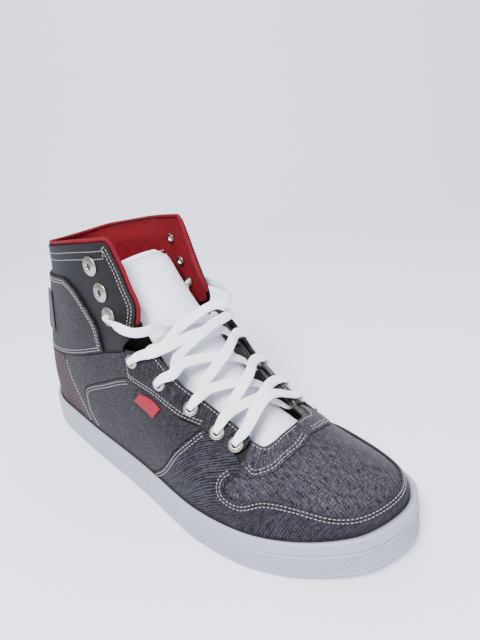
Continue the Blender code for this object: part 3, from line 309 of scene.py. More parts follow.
def smooth(value, low, high):
    """Ease from 0 at low to 1 at high."""
    t = np.clip((value - low) / (high - low), 0.0, 1.0)
    return t * t * (3 - 2 * t)


def padding(u, v):
    """Depth of the collar padding at a place."""
    rise = smooth(v, 0.50, 0.66) * (1 - smooth(v, 0.90, 1.0))
    front = FRONT_EASE * smooth(np.abs(u), 0.50, 0.55)
    return PAD * rise * (1 - smooth(np.abs(u), 0.36, 0.44)) + front


def sole_shift():
    """Sideways move that puts the middle of the sole's outline over the origin."""
    u = np.linspace(-1, 1, 721)
    outward = plan_normal(SKIN[0], u)
    ring = SKIN[0](u) + outward * (SIDE_MARGIN + END_MARGIN * outward[:, :1] ** 2)
    middle = (ring.min(axis=0) + ring.max(axis=0)) / 2
    return -middle * np.array([1.0, 1.0, 0.0])


# ---- runs and grids of places -----------------------------------------------------------
def track_length(points):
    """Running length along an array of points."""
    steps = np.linalg.norm(np.diff(points, axis=0), axis=1)
    return np.concatenate([[0], np.cumsum(steps)])


def resample(points, count, rounded=True):
    """Places along a run of places, evenly spaced over the skin; rounded smooths corners."""
    corners = np.array(points, float)
    knots = track_length(corners * np.array([3.0, 1.0]))
    fine_knots = np.linspace(0, knots[-1], 40 * len(points))
    if rounded and len(points) > 2:
        fine = natural_spline(knots, corners)(fine_knots)
    else:
        fine = np.stack([np.interp(fine_knots, knots, corners[:, k]) for k in (0, 1)], axis=1)
    length = track_length(skin(fine[:, 0], np.clip(fine[:, 1], 0, 1)))
    wanted = np.linspace(0, length[-1], count)
    return np.stack([np.interp(wanted, length, fine[:, k]) for k in (0, 1)], axis=1)


def mirror(points):
    """The same places on the other side of the shoe."""
    return [(-u, v) for u, v in points]


def shift(points, du, dv):
    """Move places over the skin."""
    return [(u + du, v + dv) for u, v in points]


def joined(*runs):
    """Runs of places end to end, without repeating where they meet."""
    return np.concatenate([runs[0]] + [run[1:] for run in runs[1:]])


def patch(bottom, top, left, right):
    """Grid of places filling four edges given as dense arrays; opposite edges match."""
    s = np.linspace(0, 1, len(bottom))[None, :, None]
    t = np.linspace(0, 1, len(left))[:, None, None]
    sides = left[:, None] * (1 - s) + right[:, None] * s
    ends = bottom[None] * (1 - t) + top[None] * t
    corners = ((bottom[0] * (1 - s) + bottom[-1] * s) * (1 - t)
               + (top[0] * (1 - s) + top[-1] * s) * t)
    return sides + ends - corners


def with_skirt(grid):
    """Carry a grid's lowest row down behind the sole's lip."""
    low = grid[0].copy()
    low[:, 1] = SKIRT_V
    return np.concatenate([low[None], grid])


# ---- meshes -----------------------------------------------------------------------------
EDGE_ROUND = 0.00045
WELD_DISTANCE = 0.00004
TUBE_END = 0.45


def link(name, mesh, finish, body="shoe"):
    """Put a mesh in the scene on a body; its slot is its finish, and stitches have none."""
    obj = bpy.data.objects.new(name, mesh)
    bpy.context.scene.collection.objects.link(obj)
    mesh.materials.append(FINISH[finish])
    mesh.polygons.foreach_set("use_smooth", [True] * len(mesh.polygons))
    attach(obj, body)
    return obj


def strip_places(points):
    """Cloth coordinates in metres along the rows and columns of a grid."""
    rows, columns = points.shape[:2]
    s = np.broadcast_to(track_length(points[rows // 2]), (rows, columns))
    t = np.broadcast_to(track_length(points[:, columns // 2])[:, None], (rows, columns))
    return np.stack([s, t], axis=-1)


def cloth_places(points):
    """Cloth coordinates in metres of a panel cut from flat cloth: seen along its own face."""
    across = np.gradient(points, axis=1).reshape(-1, 3)
    upward = np.gradient(points, axis=0).reshape(-1, 3)
    facing = np.cross(across, upward).sum(axis=0)
    facing /= np.linalg.norm(facing)
    level = np.cross([0.0, 0.0, 1.0], facing)
    if np.linalg.norm(level) < 0.75:
        level = np.cross(facing, [1.0, 0.0, 0.0])
    level /= np.linalg.norm(level)
    steep = np.cross(facing, level)
    return np.stack([points @ level, points @ steep], axis=-1)


def grid_mesh(name, points, flip=False, closed=False, cut_flat=False):
    """Mesh over a grid of points, with a UV layer in metres."""
    rows, columns = points.shape[:2]
    index = np.arange(rows * columns).reshape(rows, columns)
    if closed:
        index = np.concatenate([index, index[:, :1]], axis=1)
    quads = np.stack([index[:-1, :-1], index[:-1, 1:], index[1:, 1:], index[1:, :-1]], axis=-1)
    quads = quads.reshape(-1, 4)
    if flip:
        quads = quads[:, ::-1]
    around = np.concatenate([points, points[:, :1]], axis=1) if closed else points
    uv = cloth_places(around) if cut_flat else strip_places(around)
    corner = np.arange(uv.shape[0] * uv.shape[1]).reshape(uv.shape[:2])
    loops = np.stack([corner[:-1, :-1], corner[:-1, 1:], corner[1:, 1:], corner[1:, :-1]],
                     axis=-1).reshape(-1, 4)
    if flip:
        loops = loops[:, ::-1]
    mesh = bpy.data.meshes.new(name)
    mesh.from_pydata(points.reshape(-1, 3).tolist(), [], quads.tolist())
    layer = mesh.uv_layers.new(name="cloth")
    layer.data.foreach_set("uv", uv.reshape(-1, 2)[loops.reshape(-1)].reshape(-1))
    return mesh


def weld(mesh):
    """Join points that fall together."""
    work = bmesh_of(mesh)
    bmesh.ops.remove_doubles(work, verts=work.verts, dist=WELD_DISTANCE)
    bmesh.ops.dissolve_degenerate(work, edges=work.edges, dist=WELD_DISTANCE / 2)
    work.to_mesh(mesh)
    work.free()


def bmesh_of(mesh):
    """Editable copy of a mesh."""
    work = bmesh.new()
    work.from_mesh(mesh)
    return work


def panel(name, grid, top, thickness, finish, node, extra=None, cut_flat=False):
    """Sheet with rounded edges over a grid of places, in place of a CAD node.

    extra(u, v) deepens it; cut_flat lays its weave straight, as cut from flat cloth.
    """
    u, v = grid[..., 0], grid[..., 1]
    depth = top - extra(u, v) if extra else np.full(u.shape, top)
    points = place(grid, depth)
    middle = (grid.shape[0] // 2, grid.shape[1] // 2)
    here = points[middle]
    across = points[middle[0], middle[1] + 1] - here
    upward = points[middle[0] + 1, middle[1]] - here
    outward = skin_normal(u[middle], v[middle])
    flip = np.dot(np.cross(across, upward), outward) < 0
    mesh = grid_mesh(name, points, flip, cut_flat=cut_flat)
    weld(mesh)
    obj = link(name, mesh, finish)
    solid = obj.modifiers.new("thickness", "SOLIDIFY")
    solid.thickness = thickness
    solid.offset = -1.0
    solid.use_even_offset = False
    bevel = obj.modifiers.new("rounded_edge", "BEVEL")
    bevel.width = EDGE_ROUND
    bevel.segments = 2
    bevel.limit_method = "ANGLE"
    bevel.angle_limit = math.radians(50)
    bevel.harden_normals = True
    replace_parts(obj, node)
    return obj


def tube(name, centres, radius, sides, finish):
    """Round tube along a run of points, drawn in at its ends."""
    along = np.gradient(centres, axis=0)
    along /= np.linalg.norm(along, axis=1, keepdims=True)
    across = np.cross(along[0], [0.3, 1.0, 0.2])
    rings = []
    radii = np.full(len(centres), radius)
    radii[[0, -1]] = radius * TUBE_END
    for centre, direction, size in zip(centres, along, radii):
        across = across - direction * (across @ direction)
        across = across / np.linalg.norm(across)
        other = np.cross(direction, across)
        angles = np.linspace(0, 2 * math.pi, sides, endpoint=False)
        rings.append(centre + size * (np.cos(angles)[:, None] * across
                                      + np.sin(angles)[:, None] * other))
    return closed_loft(name, rings, finish)


def closed_loft(name, rings, finish, body="shoe"):
    """Solid through rings of points, capped at both ends."""
    mesh = grid_mesh(name, np.array(rings), closed=True)
    close_ends(mesh, len(rings), len(rings[0]))
    return link(name, mesh, finish, body)


def close_ends(mesh, rings, sides):
    """Cap the first and last ring of a tube."""
    work = bmesh_of(mesh)
    work.verts.ensure_lookup_table()
    work.faces.new([work.verts[i] for i in reversed(range(sides))])
    last = (rings - 1) * sides
    work.faces.new([work.verts[last + i] for i in range(sides)])
    bmesh.ops.recalc_face_normals(work, faces=work.faces)
    work.to_mesh(mesh)
    work.free()


# ---- materials --------------------------------------------------------------------------
WAVE_TURN = 0.314    # length of one band of the wave texture at scale 1


class Material:
    """Small helper that builds one procedural material."""

    def __init__(self, name, roughness, **constants):
        self.data = bpy.data.materials.new(name)
        self.data.use_nodes = True
        self.tree = self.data.node_tree
        self.shader = self.tree.nodes["Principled BSDF"]
        self.set("Roughness", roughness)
        for key, value in constants.items():
            self.set(key.replace("_", " "), value)

    def set(self, socket, value):
        """Set or link one input of the shader."""
        target = self.shader.inputs[socket]
        if isinstance(value, bpy.types.NodeSocket):
            self.tree.links.new(value, target)
        else:
            target.default_value = value

    def node(self, kind, inputs=(), **settings):
        """Add a node; inputs are numbers, colours or other nodes' outputs."""
        node = self.tree.nodes.new("ShaderNode" + kind)
        for key, value in settings.items():
            setattr(node, key, value)
        for key, value in inputs:
            if isinstance(value, bpy.types.NodeSocket):
                self.tree.links.new(value, node.inputs[key])
            else:
                node.inputs[key].default_value = value
        return node

    def cloth(self, across, along, turn=0.0):
        """Cloth coordinates, scaled across and along, turned by an angle."""
        place_on = self.node("UVMap", uv_map="cloth").outputs["UV"]
        turned = self.node("Mapping", [("Vector", place_on), ("Rotation", (0, 0, turn))])
        return self.node("Mapping", [("Vector", turned.outputs[0]),
                                     ("Scale", (across, along, 1.0))]).outputs[0]

    def solid(self, scale):
        """Object coordinates at a scale."""
        place_at = self.node("TexCoord").outputs["Object"]
        return self.node("Mapping", [("Vector", place_at),
                                     ("Scale", (scale, scale, scale))]).outputs[0]

    def noise(self, vector, scale=1.0, detail=2.0):
        """Noise value."""
        found = self.node("TexNoise", [("Vector", vector), ("Scale", scale), ("Detail", detail)])
        return found.outputs["Fac"]

    def wave(self, vector, pitch, distortion=0.0):
        """Sine bands along x, a pitch in metres apart."""
        found = self.node("TexWave", [("Vector", vector), ("Scale", WAVE_TURN / pitch),
                                      ("Distortion", distortion), ("Detail", 1.0)],
                          wave_profile="SIN")
        return found.outputs["Fac"]

    def ramp(self, value, *stops):
        """Colour ramp with (position, colour) stops."""
        found = self.node("ValToRGB", [("Fac", value)])
        elements = found.color_ramp.elements
        while len(elements) < len(stops):
            elements.new(0.5)
        for element, (position, colour) in zip(elements, stops):
            element.position = position
            element.color = (*colour, 1.0)
        return found.outputs["Color"]

    def mix(self, share, first, second, blend="MIX"):
        """Mixed colour."""
        found = self.node("Mix", data_type="RGBA", blend_type=blend)
        for key, value in ((0, share), (6, first), (7, second)):
            if isinstance(value, bpy.types.NodeSocket):
                self.tree.links.new(value, found.inputs[key])
            else:
                found.inputs[key].default_value = value if key == 0 else (*value, 1.0)
        return found.outputs[2]

    def maths(self, operation, first, second=0.0):
        """Result of a sum on two values."""
        found = self.node("Math", [(0, first), (1, second)], operation=operation)
        return found.outputs[0]

    def weighted(self, *pairs):
        """Sum of values times their weights."""
        total = None
        for value, weight in pairs:
            part = self.maths("MULTIPLY", value, weight)
            total = part if total is None else self.maths("ADD", total, part)
        return total

    def blotched(self, colour, scale, low, high):
        """Colour with soft lighter and darker areas."""
        tone = self.ramp(self.noise(self.solid(scale), detail=3.0), (0.3, low), (0.7, high))
        self.set("Base Color", self.mix(1.0, colour, tone, "MULTIPLY"))

    def toned(self, value, base, shade, low=0.3, high=0.7):
        """Ramp from a darkened base colour to the base colour."""
        return self.ramp(value, (low, [c * shade for c in base]), (high, base))

    def bump(self, height, distance, strength=1.0, below=None):
        """Bump normal from a height."""
        inputs = [("Height", height), ("Distance", distance), ("Strength", strength)]
        if below is not None:
            inputs.append(("Normal", below))
        return self.node("Bump", inputs).outputs["Normal"]


def chambray(name, dark, light, thread, turn=0.0):
    """Two-tone plain weave: slubby threads across and along the cloth."""
    made = Material(name, 0.9, Sheen_Weight=0.06, Sheen_Roughness=0.5, Specular_IOR_Level=0.12)
    fine = 1.0 / thread
    up = made.noise(made.cloth(fine, fine * 0.10, turn), detail=2.0)
    side = made.noise(made.cloth(fine * 0.18, fine, turn), detail=2.0)
    fleck = made.noise(made.cloth(fine * 0.8, fine * 0.8, turn), detail=1.0)
    threads = made.weighted((up, 0.42), (side, 0.33), (fleck, 0.25))
    middle = [a * 0.62 + b * 0.38 for a, b in zip(dark, light)]
    colour = made.ramp(threads, (0.42, dark), (0.50, middle), (0.60, light))
    made.blotched(colour, 55.0, (0.80, 0.80, 0.82), (1.1, 1.1, 1.1))
    weave_u = made.wave(made.cloth(1.0, 1.0, turn), thread)
    weave_v = made.wave(made.cloth(1.0, 1.0, turn + math.pi / 2), thread)
    weave = made.maths("MULTIPLY", weave_u, weave_v)
    rough = made.bump(threads, 0.0005, 0.5)
    made.set("Normal", made.bump(weave, 0.00010, 0.5, rough))
    return made.data


def twill(name, dark, light, pitch, turn):
    """Dark denim with diagonal ribs."""
    made = Material(name, 0.9, Sheen_Weight=0.06, Sheen_Roughness=0.5, Specular_IOR_Level=0.12)
    ribs = made.wave(made.cloth(1.0, 1.0, turn), pitch, 1.2)
    slub = made.noise(made.cloth(0.9 / pitch, 0.25 / pitch, turn), detail=3.0)
    speckle = made.noise(made.cloth(1.3 / pitch, 1.3 / pitch, turn), detail=2.0)
    height = made.weighted((ribs, 0.35), (slub, 0.65))
    value = made.weighted((ribs, 0.16), (slub, 0.42), (speckle, 0.42))
    colour = made.ramp(value, (0.40, dark), (0.60, light))
    made.blotched(colour, 60.0, (0.8, 0.8, 0.82), (1.1, 1.1, 1.1))
    made.set("Normal", made.bump(height, 0.0004, 0.6))
    return made.data


def leather(name, base, grain, roughness):
    """Coated smooth leather with a fine pebble grain and faint creases."""
    made = Material(name, roughness, Specular_IOR_Level=0.22)
    cells = made.node("TexVoronoi", [("Vector", made.solid(grain)), ("Scale", 1.0)])
    creases = made.noise(made.solid(140.0), detail=4.0)
    tone = made.ramp(creases, (0.3, [c * 0.85 for c in base]), (0.75, [c * 1.2 for c in base]))
    made.set("Base Color", tone)
    low = made.bump(creases, 0.0006, 0.25)
    made.set("Normal", made.bump(cells.outputs["Distance"], 0.00012, 0.5, low))
    return made.data


def knit(name, base, pitch, sheen, depth=0.0003, shade=0.72):
    """Fine knitted or woven textile in one colour, with painted shade in the hollows between its
    loops.
    """
    made = Material(name, 0.82, Sheen_Weight=sheen, Sheen_Roughness=0.4, Specular_IOR_Level=0.25)
    columns = made.wave(made.cloth(1.0, 1.0), pitch, 0.6)
    rows = made.wave(made.cloth(1.0, 1.0, math.pi / 2), pitch, 0.6)
    loops = made.maths("MULTIPLY", columns, rows)
    soft = made.noise(made.solid(90.0), detail=4.0)
    dark = [c * shade for c in base]
    # Painted shade: the colour dims towards dark where the loops dip, and soft random blotches of
    # the same darker tone are mixed in.
    tone = made.mix(made.maths("MULTIPLY", loops, 0.7), dark, base)
    made.set("Base Color", made.mix(0.5, tone, made.ramp(soft, (0.3, dark), (0.7, base))))
    made.set("Normal", made.bump(loops, depth, 0.7, made.bump(soft, 0.0008, 0.25)))
    return made.data


def ribbed(name, base, shade, pitch, turn=math.pi / 2, sheen=0.3):
    """Woven ribbon with ribs across its length; the low parts of its ribs take the shade colour."""
    made = Material(name, 0.75, Sheen_Weight=sheen, Specular_IOR_Level=0.3)
    ribs = made.wave(made.cloth(1.0, 1.0, turn), pitch, 0.5)
    fibres = made.noise(made.cloth(2600, 300), detail=2.0)
    height = made.weighted((ribs, 0.7), (fibres, 0.3))
    # Painted shade on the lace and the red tab ribbon: the low parts of the ribs turn to the shade
    # colour; on the badge the same ramp draws its dark stripes.
    made.set("Base Color", made.ramp(height, (0.15, shade), (0.6, base)))
    made.set("Normal", made.bump(height, 0.0003, 0.6))
    return made.data


def rubber(name, base, shade, roughness):
    """Moulded rubber with a faintly uneven, slightly scuffed face."""
    made = Material(name, roughness, Specular_IOR_Level=0.4, Subsurface_Weight=0.06,
                    Subsurface_Radius=(0.004, 0.0035, 0.003))
    clouds = made.noise(made.solid(26.0), detail=4.0)
    grain = made.noise(made.solid(2400.0), detail=2.0)
    scuff = made.ramp(made.noise(made.solid(70.0), detail=6.0), (0.56, base), (0.74, shade))
    made.set("Base Color", made.mix(0.5, scuff, made.ramp(clouds, (0.3, shade), (0.6, base))))
    made.set("Roughness", made.maths("ADD", made.maths("MULTIPLY", clouds, 0.16), roughness - 0.08))
    made.set("Normal", made.bump(grain, 0.00008, 0.35))
    return made.data


def metal(name, base, roughness):
    """Plated metal with fine turning marks and dulled spots."""
    made = Material(name, roughness, Metallic=1.0)
    spots = made.noise(made.solid(900.0), detail=3.0)
    made.set("Base Color", made.toned(spots, base, 0.8))
    made.set("Roughness", made.maths("ADD", made.maths("MULTIPLY", spots, 0.2), roughness - 0.1))
    made.set("Normal", made.bump(spots, 0.00003, 0.3))
    return made.data


def thread(name, base):
    """Twisted sewing thread."""
    made = Material(name, 0.7, Sheen_Weight=0.2, Specular_IOR_Level=0.3)
    twist = made.noise(made.solid(4200.0), detail=1.0)
    made.set("Base Color", made.toned(twist, base, 0.75, high=0.65))
    made.set("Normal", made.bump(twist, 0.0001, 0.5))
    return made.data


def foam(name, base):
    """Open-cell foam or pressed fibre."""
    made = Material(name, 0.9)
    cells = made.noise(made.solid(1500.0), detail=3.0)
    made.set("Base Color", made.toned(cells, base, 0.7))
    made.set("Normal", made.bump(cells, 0.0002, 0.6))
    return made.data


def plastic(name, base):
    """Clear-looking glossy plastic."""
    made = Material(name, 0.22, Coat_Weight=0.3, Transmission_Weight=0.1)
    haze = made.noise(made.solid(400.0), detail=2.0)
    made.set("Base Color", made.toned(haze, base, 0.9))
    made.set("Normal", made.bump(haze, 0.00005, 0.2))
    return made.data


def build_materials():
    """Every finish of the shoe."""
    return {
        "denim": chambray("charcoal_chambray", (0.006, 0.0055, 0.0075), (0.070, 0.065, 0.082),
                          0.00052),
        "side_denim": chambray("dark_chambray", (0.003, 0.0027, 0.0037), (0.036, 0.033, 0.042),
                               0.00062),
        "twill": twill("diagonal_twill", (0.002, 0.002, 0.003), (0.034, 0.033, 0.043), 0.0010, 0.9),
        "smooth_leather": leather("coated_leather", (0.0055, 0.0055, 0.0065), 1500.0, 0.58),
        # The knits' darker tones and the second colours of the lace and red ribbon are painted
        # shade in the hollows of their weave; the embroidery's second colour is its dark stripes.
        "red_lining": knit("crimson_knit", (0.15, 0.0, 0.006), 0.0009, 0.0),
        "black_lining": knit("black_mesh", (0.012, 0.012, 0.014), 0.0013, 0.2, 0.0004),
        "white_textile": knit("white_weave", (0.86, 0.87, 0.97), 0.0008, 0.1, 0.0002, 0.9),
        "maroon": knit("maroon_textile", (0.030, 0.008, 0.014), 0.0010, 0.05),
        "lace": ribbed("white_lace", (0.90, 0.91, 0.98), (0.62, 0.63, 0.72), 0.0009),
        "red_tab": ribbed("red_ribbon", (0.26, 0.0, 0.012), (0.12, 0.0, 0.005), 0.0006, sheen=0.05),
        "embroidery": ribbed("grey_embroidery", (0.075, 0.07, 0.08), (0.012, 0.012, 0.014), 0.0022,
                             0.6, 0.05),
        "white_rubber": rubber("white_rubber", (0.30, 0.305, 0.385), (0.25, 0.255, 0.33), 0.46),
        "metal": metal("plated_metal", (0.47, 0.43, 0.38), 0.33),
        "thread": thread("off_white_thread", (0.30, 0.28, 0.28)),
        "dark_thread": thread("dark_thread", (0.03, 0.03, 0.04)),
        "thread_white": thread("white_thread", (0.66, 0.66, 0.72)),
        "aglet_plastic": plastic("aglet_plastic", (0.8, 0.81, 0.85)),
        "footbed": knit("footbed_knit", (0.03, 0.03, 0.034), 0.0012, 0.25),
        "foam": foam("padding_foam", (0.72, 0.68, 0.56)),
        "midsole_foam": foam("wedge_foam", (0.78, 0.77, 0.73)),
        "board": foam("fibre_board", (0.50, 0.40, 0.28)),
        "stiffener": foam("pressed_fibre", (0.58, 0.52, 0.42)),
    }


def finish_cad_nodes():
    """Give every CAD node its finish, by the record's material slot."""
    for entry in frame["record"]["subparts"]:
        mesh = frame["nodes"][entry["node"]].data
        mesh.materials.clear()
        mesh.materials.append(FINISH[entry["material_slot"]])


# ---- sole -------------------------------------------------------------------------------
SOLE_COLUMNS = 1801
GROOVE_LEVEL = 0.655
GROOVE_WIDTH = 0.022
GROOVE_DEPTH = 0.0013
FOOT_ROUND = 0.0011
WALL_LEAN = 0.0003
LIP_ROUND = 0.0009
KNURL_FROM_U = 0.70
KNURL_PITCH = 0.0032
KNURL_DEPTH = 0.0009
KNURL_LOW, KNURL_HIGH = 0.10, 0.56
KNURL_FADE = 0.02
# Inside of the cup: offset from the feather line, depth below the sole's top edge.
CUP_INSIDE = [(WALL_GAP + 0.0004, 0.0), (WALL_GAP, 0.006), (WALL_GAP - 0.004, 0.0125)]
# Footbed: offset from the feather line, height over its underside.
FOOTBED = [(-0.0062, 0.0002), (-0.0068, 0.0016), (-0.0084, 0.0030), (-0.0120, 0.0036),
           (-0.0200, 0.0036), (-0.0280, 0.0035)]


def sole_ring(u, offset, ends, z):
    """Ring of points round the shoe at an offset from the feather line."""
    outward = plan_normal(SKIN[0], u)
    grow = offset + ends * outward[:, 0] ** 2
    points = SKIN[0](u) + outward * grow[:, None]
    height = z(points[:, 0])
    return np.stack([points[:, 0], points[:, 1], height], axis=1) + SHIFT


def wall_offset(share):
    """Offset of the side wall at a share of its height."""
    foot = FOOT_ROUND * (1 - smooth(share, 0.0, 0.05)) ** 2
    lean = WALL_LEAN * smooth(share, 0.1, 0.6) + (LIP_INSET - WALL_LEAN) * smooth(share, 0.6, 1.0)
    groove = GROOVE_DEPTH * math.exp(-((share - GROOVE_LEVEL) / GROOVE_WIDTH) ** 2)
    lip = LIP_ROUND * smooth(share, 0.94, 1.0) ** 2
    return SIDE_MARGIN - foot - lean - groove - lip


def build_sole():
    """Cup sole with its lip, groove line and knurled toe band."""
    places = resample([(-1.0, 0.0), (1.0, 0.0)], SOLE_COLUMNS, False)[:-1, 0]
    travel = track_length(SKIN[0](places))
    toe = smooth(np.abs(places), KNURL_FROM_U - 0.03, KNURL_FROM_U)
    rings = []
    shares = np.concatenate([[0.0, 0.008, 0.02, 0.035], np.linspace(0.05, 0.94, 62),
                             [0.955, 0.97, 0.985, 1.0]])
    for share in shares:
        rise = share * SOLE_HEIGHT
        band = smooth(share, KNURL_LOW - KNURL_FADE, KNURL_LOW)
        band *= 1 - smooth(share, KNURL_HIGH, KNURL_HIGH + KNURL_FADE)
        diamond = np.abs(np.sin(math.pi * (travel + rise) / KNURL_PITCH)
                         * np.sin(math.pi * (travel - rise) / KNURL_PITCH))
        knurl = -KNURL_DEPTH * toe * band * (1 - diamond)

        def level(x, share=share):
            return toe_rise(x) * (1 - share) + sole_top(x) * share

        rings.append(sole_ring(places, wall_offset(share) + knurl, END_MARGIN, level))
    rings += inner_rings(places, [(offset, -depth) for offset, depth in CUP_INSIDE])
    sole = closed_loft("cupsole", rings, "white_rubber")
    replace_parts(sole, "outsole_cup")


def inner_rings(places, profile):
    """Rings at (offset from the feather line, height from the sole's top edge)."""
    return [sole_ring(places, np.full(len(places), offset), 0.0,
                      lambda x, height=height: sole_top(x) + height)
            for offset, height in profile]


def build_footbed():
    """Thin knitted footbed over the insole, with a raised rim."""
    places = resample([(-1.0, 0.0), (1.0, 0.0)], 241, False)[:-1, 0]
    rings = inner_rings(places, [(inset, height - FOOTBED_DROP) for inset, height in FOOTBED])
    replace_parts(closed_loft("footbed", rings, "footbed"), "sockliner")


# ---- stitching --------------------------------------------------------------------------
STITCH_PITCH = 0.0022
STITCH_LENGTH = 0.0016
THREAD_RADIUS = 0.00023
THREAD_SIDES = 6
ROW_NEAR = 0.0017
ROW_FAR = 0.0035
SINGLE_ROW = 0.0018
# Along a stitch: share of its length, thickness and lift in thread radii.
STITCH_PROFILE = np.array([(0.0, 0.35, -0.6), (0.12, 0.85, 0.25), (0.5, 1.0, 0.75),
                           (0.88, 0.85, 0.25), (1.0, 0.35, -0.6)])


def beside(run, distance, toward):
    """Places beside a run, at a distance on the side where a place lies."""
    u, v = run[:, 0], run[:, 1]
    points = skin(u, v)
    along = np.gradient(points, axis=0)
    side = np.cross(skin_normal(u, v), along)
    side /= np.linalg.norm(side, axis=1, keepdims=True)
    aim = skin(*np.array([toward]).T)[0]
    middle = len(run) // 2
    if side[middle] @ (aim - points[middle]) < 0:
        side = -side
    by_u = (skin(u + UV_STEP, v) - skin(u - UV_STEP, v)) / (2 * UV_STEP)
    by_v = (skin(u, v + UV_STEP) - skin(u, v - UV_STEP)) / (2 * UV_STEP)
    uu, uv, vv = (np.sum(a * b, axis=1) for a, b in ((by_u, by_u), (by_u, by_v), (by_v, by_v)))
    du, dv = (np.sum(a * side, axis=1) * distance for a in (by_u, by_v))
    scale = uu * vv - uv * uv
    return run + np.stack([(vv * du - uv * dv) / scale, (uu * dv - uv * du) / scale], axis=1)


def stitch_points(points, normals):
    """Verts and faces of a row of stitches along points on a surface."""
    length = track_length(points)
    count = int((length[-1] - STITCH_LENGTH) / STITCH_PITCH)
    start = (np.arange(count) + 0.3) * STITCH_PITCH
    shares, sizes, lifts = STITCH_PROFILE.T
    where = start[:, None] + shares * STITCH_LENGTH
    centre = np.stack([np.interp(where, length, points[:, k]) for k in range(3)], axis=-1)
    up = np.stack([np.interp(where, length, normals[:, k]) for k in range(3)], axis=-1)
    centre = centre + up * lifts[:, None] * THREAD_RADIUS
    along = centre[:, -1:] - centre[:, :1]
    side = np.cross(up, along)
    side /= np.linalg.norm(side, axis=-1, keepdims=True)
    angles = np.arange(THREAD_SIDES) * 2 * math.pi / THREAD_SIDES
    ring = (np.cos(angles)[:, None] * side[:, :, None] + np.sin(angles)[:, None] * up[:, :, None])
    verts = centre[:, :, None] + ring * sizes[None, :, None, None] * THREAD_RADIUS
    index = np.arange(verts.size // 3).reshape(count, len(shares), THREAD_SIDES)
    turned = np.roll(index, -1, axis=2)
    faces = np.stack([index[:, :-1], turned[:, :-1], turned[:, 1:], index[:, 1:]], axis=-1)
    return verts.reshape(-1, 3), faces.reshape(-1, 4)


def stitches(name, rows, depth, finish="thread"):
    """One mesh with rows of stitches; each row is an array of places."""
    sets = []
    for row in rows:
        dense = resample(row, 200, False)
        sets.append(stitch_points(place(dense, depth), skin_normal(dense[:, 0], dense[:, 1])))
    stitch_mesh(name, sets, "shoe", finish)


def stitch_mesh(name, sets, body, finish):
    """Join sets of stitches into one mesh."""
    verts, faces, start = [], [], 0
    for points, quads in sets:
        verts.append(points)
        faces.append(quads + start)
        start += len(points)
    mesh = bpy.data.meshes.new(name)
    mesh.from_pydata(np.concatenate(verts).tolist(), [], np.concatenate(faces).tolist())
    link(name, mesh, finish, body)


def double_row(run, toward, near=ROW_NEAR, far=ROW_FAR):
    """Two rows beside a panel edge."""
    return [beside(run, near, toward), beside(run, far, toward)]


def seam_rows(sign, run, count, toward, distances=(ROW_NEAR, ROW_FAR)):
    """Rows beside a run of places on one side of the shoe."""
    dense = on_side(resample(run, count), sign)
    return [beside(dense, distance, (sign * toward[0], toward[1])) for distance in distances]


# ---- upper ------------------------------------------------------------------------------
SEAM_U = 0.0010
SEAM_V = 0.0030
EYESTAY_TOP = OUTER_TOP + 0.0002
VAMP_TOP = INNER_TOP + 0.0004
HOLE_RADIUS = 0.0026
HOLE_REACH = 0.008
HEEL_PIPING_RADIUS = 0.0008
PIPING_RADIUS = 0.00125
PIPING_OUT = 0.0015


def on_side(grid, sign):
    """Put places on one side of the shoe."""
    return np.asarray(grid, float) * np.array([sign, 1.0])


def cut_lace_holes(obj):
    """Open a panel where the eyelets go through it."""
    work = bmesh_of(obj.data)
    doomed = []
    for number in range(len(EYELETS)):
        for sign in (1, -1):
            centre, normal, _, _ = eyelet_frame(sign, number)
            axis = Vector(normal)
            for face in work.faces:
                apart = face.calc_center_median() - Vector(centre)
                aside = (apart - axis * apart.dot(axis)).length
                if apart.length < HOLE_REACH and aside < HOLE_RADIUS:
                    doomed.append(face)
    bmesh.ops.delete(work, geom=list(set(doomed)), context="FACES")
    work.to_mesh(obj.data)
    work.free()


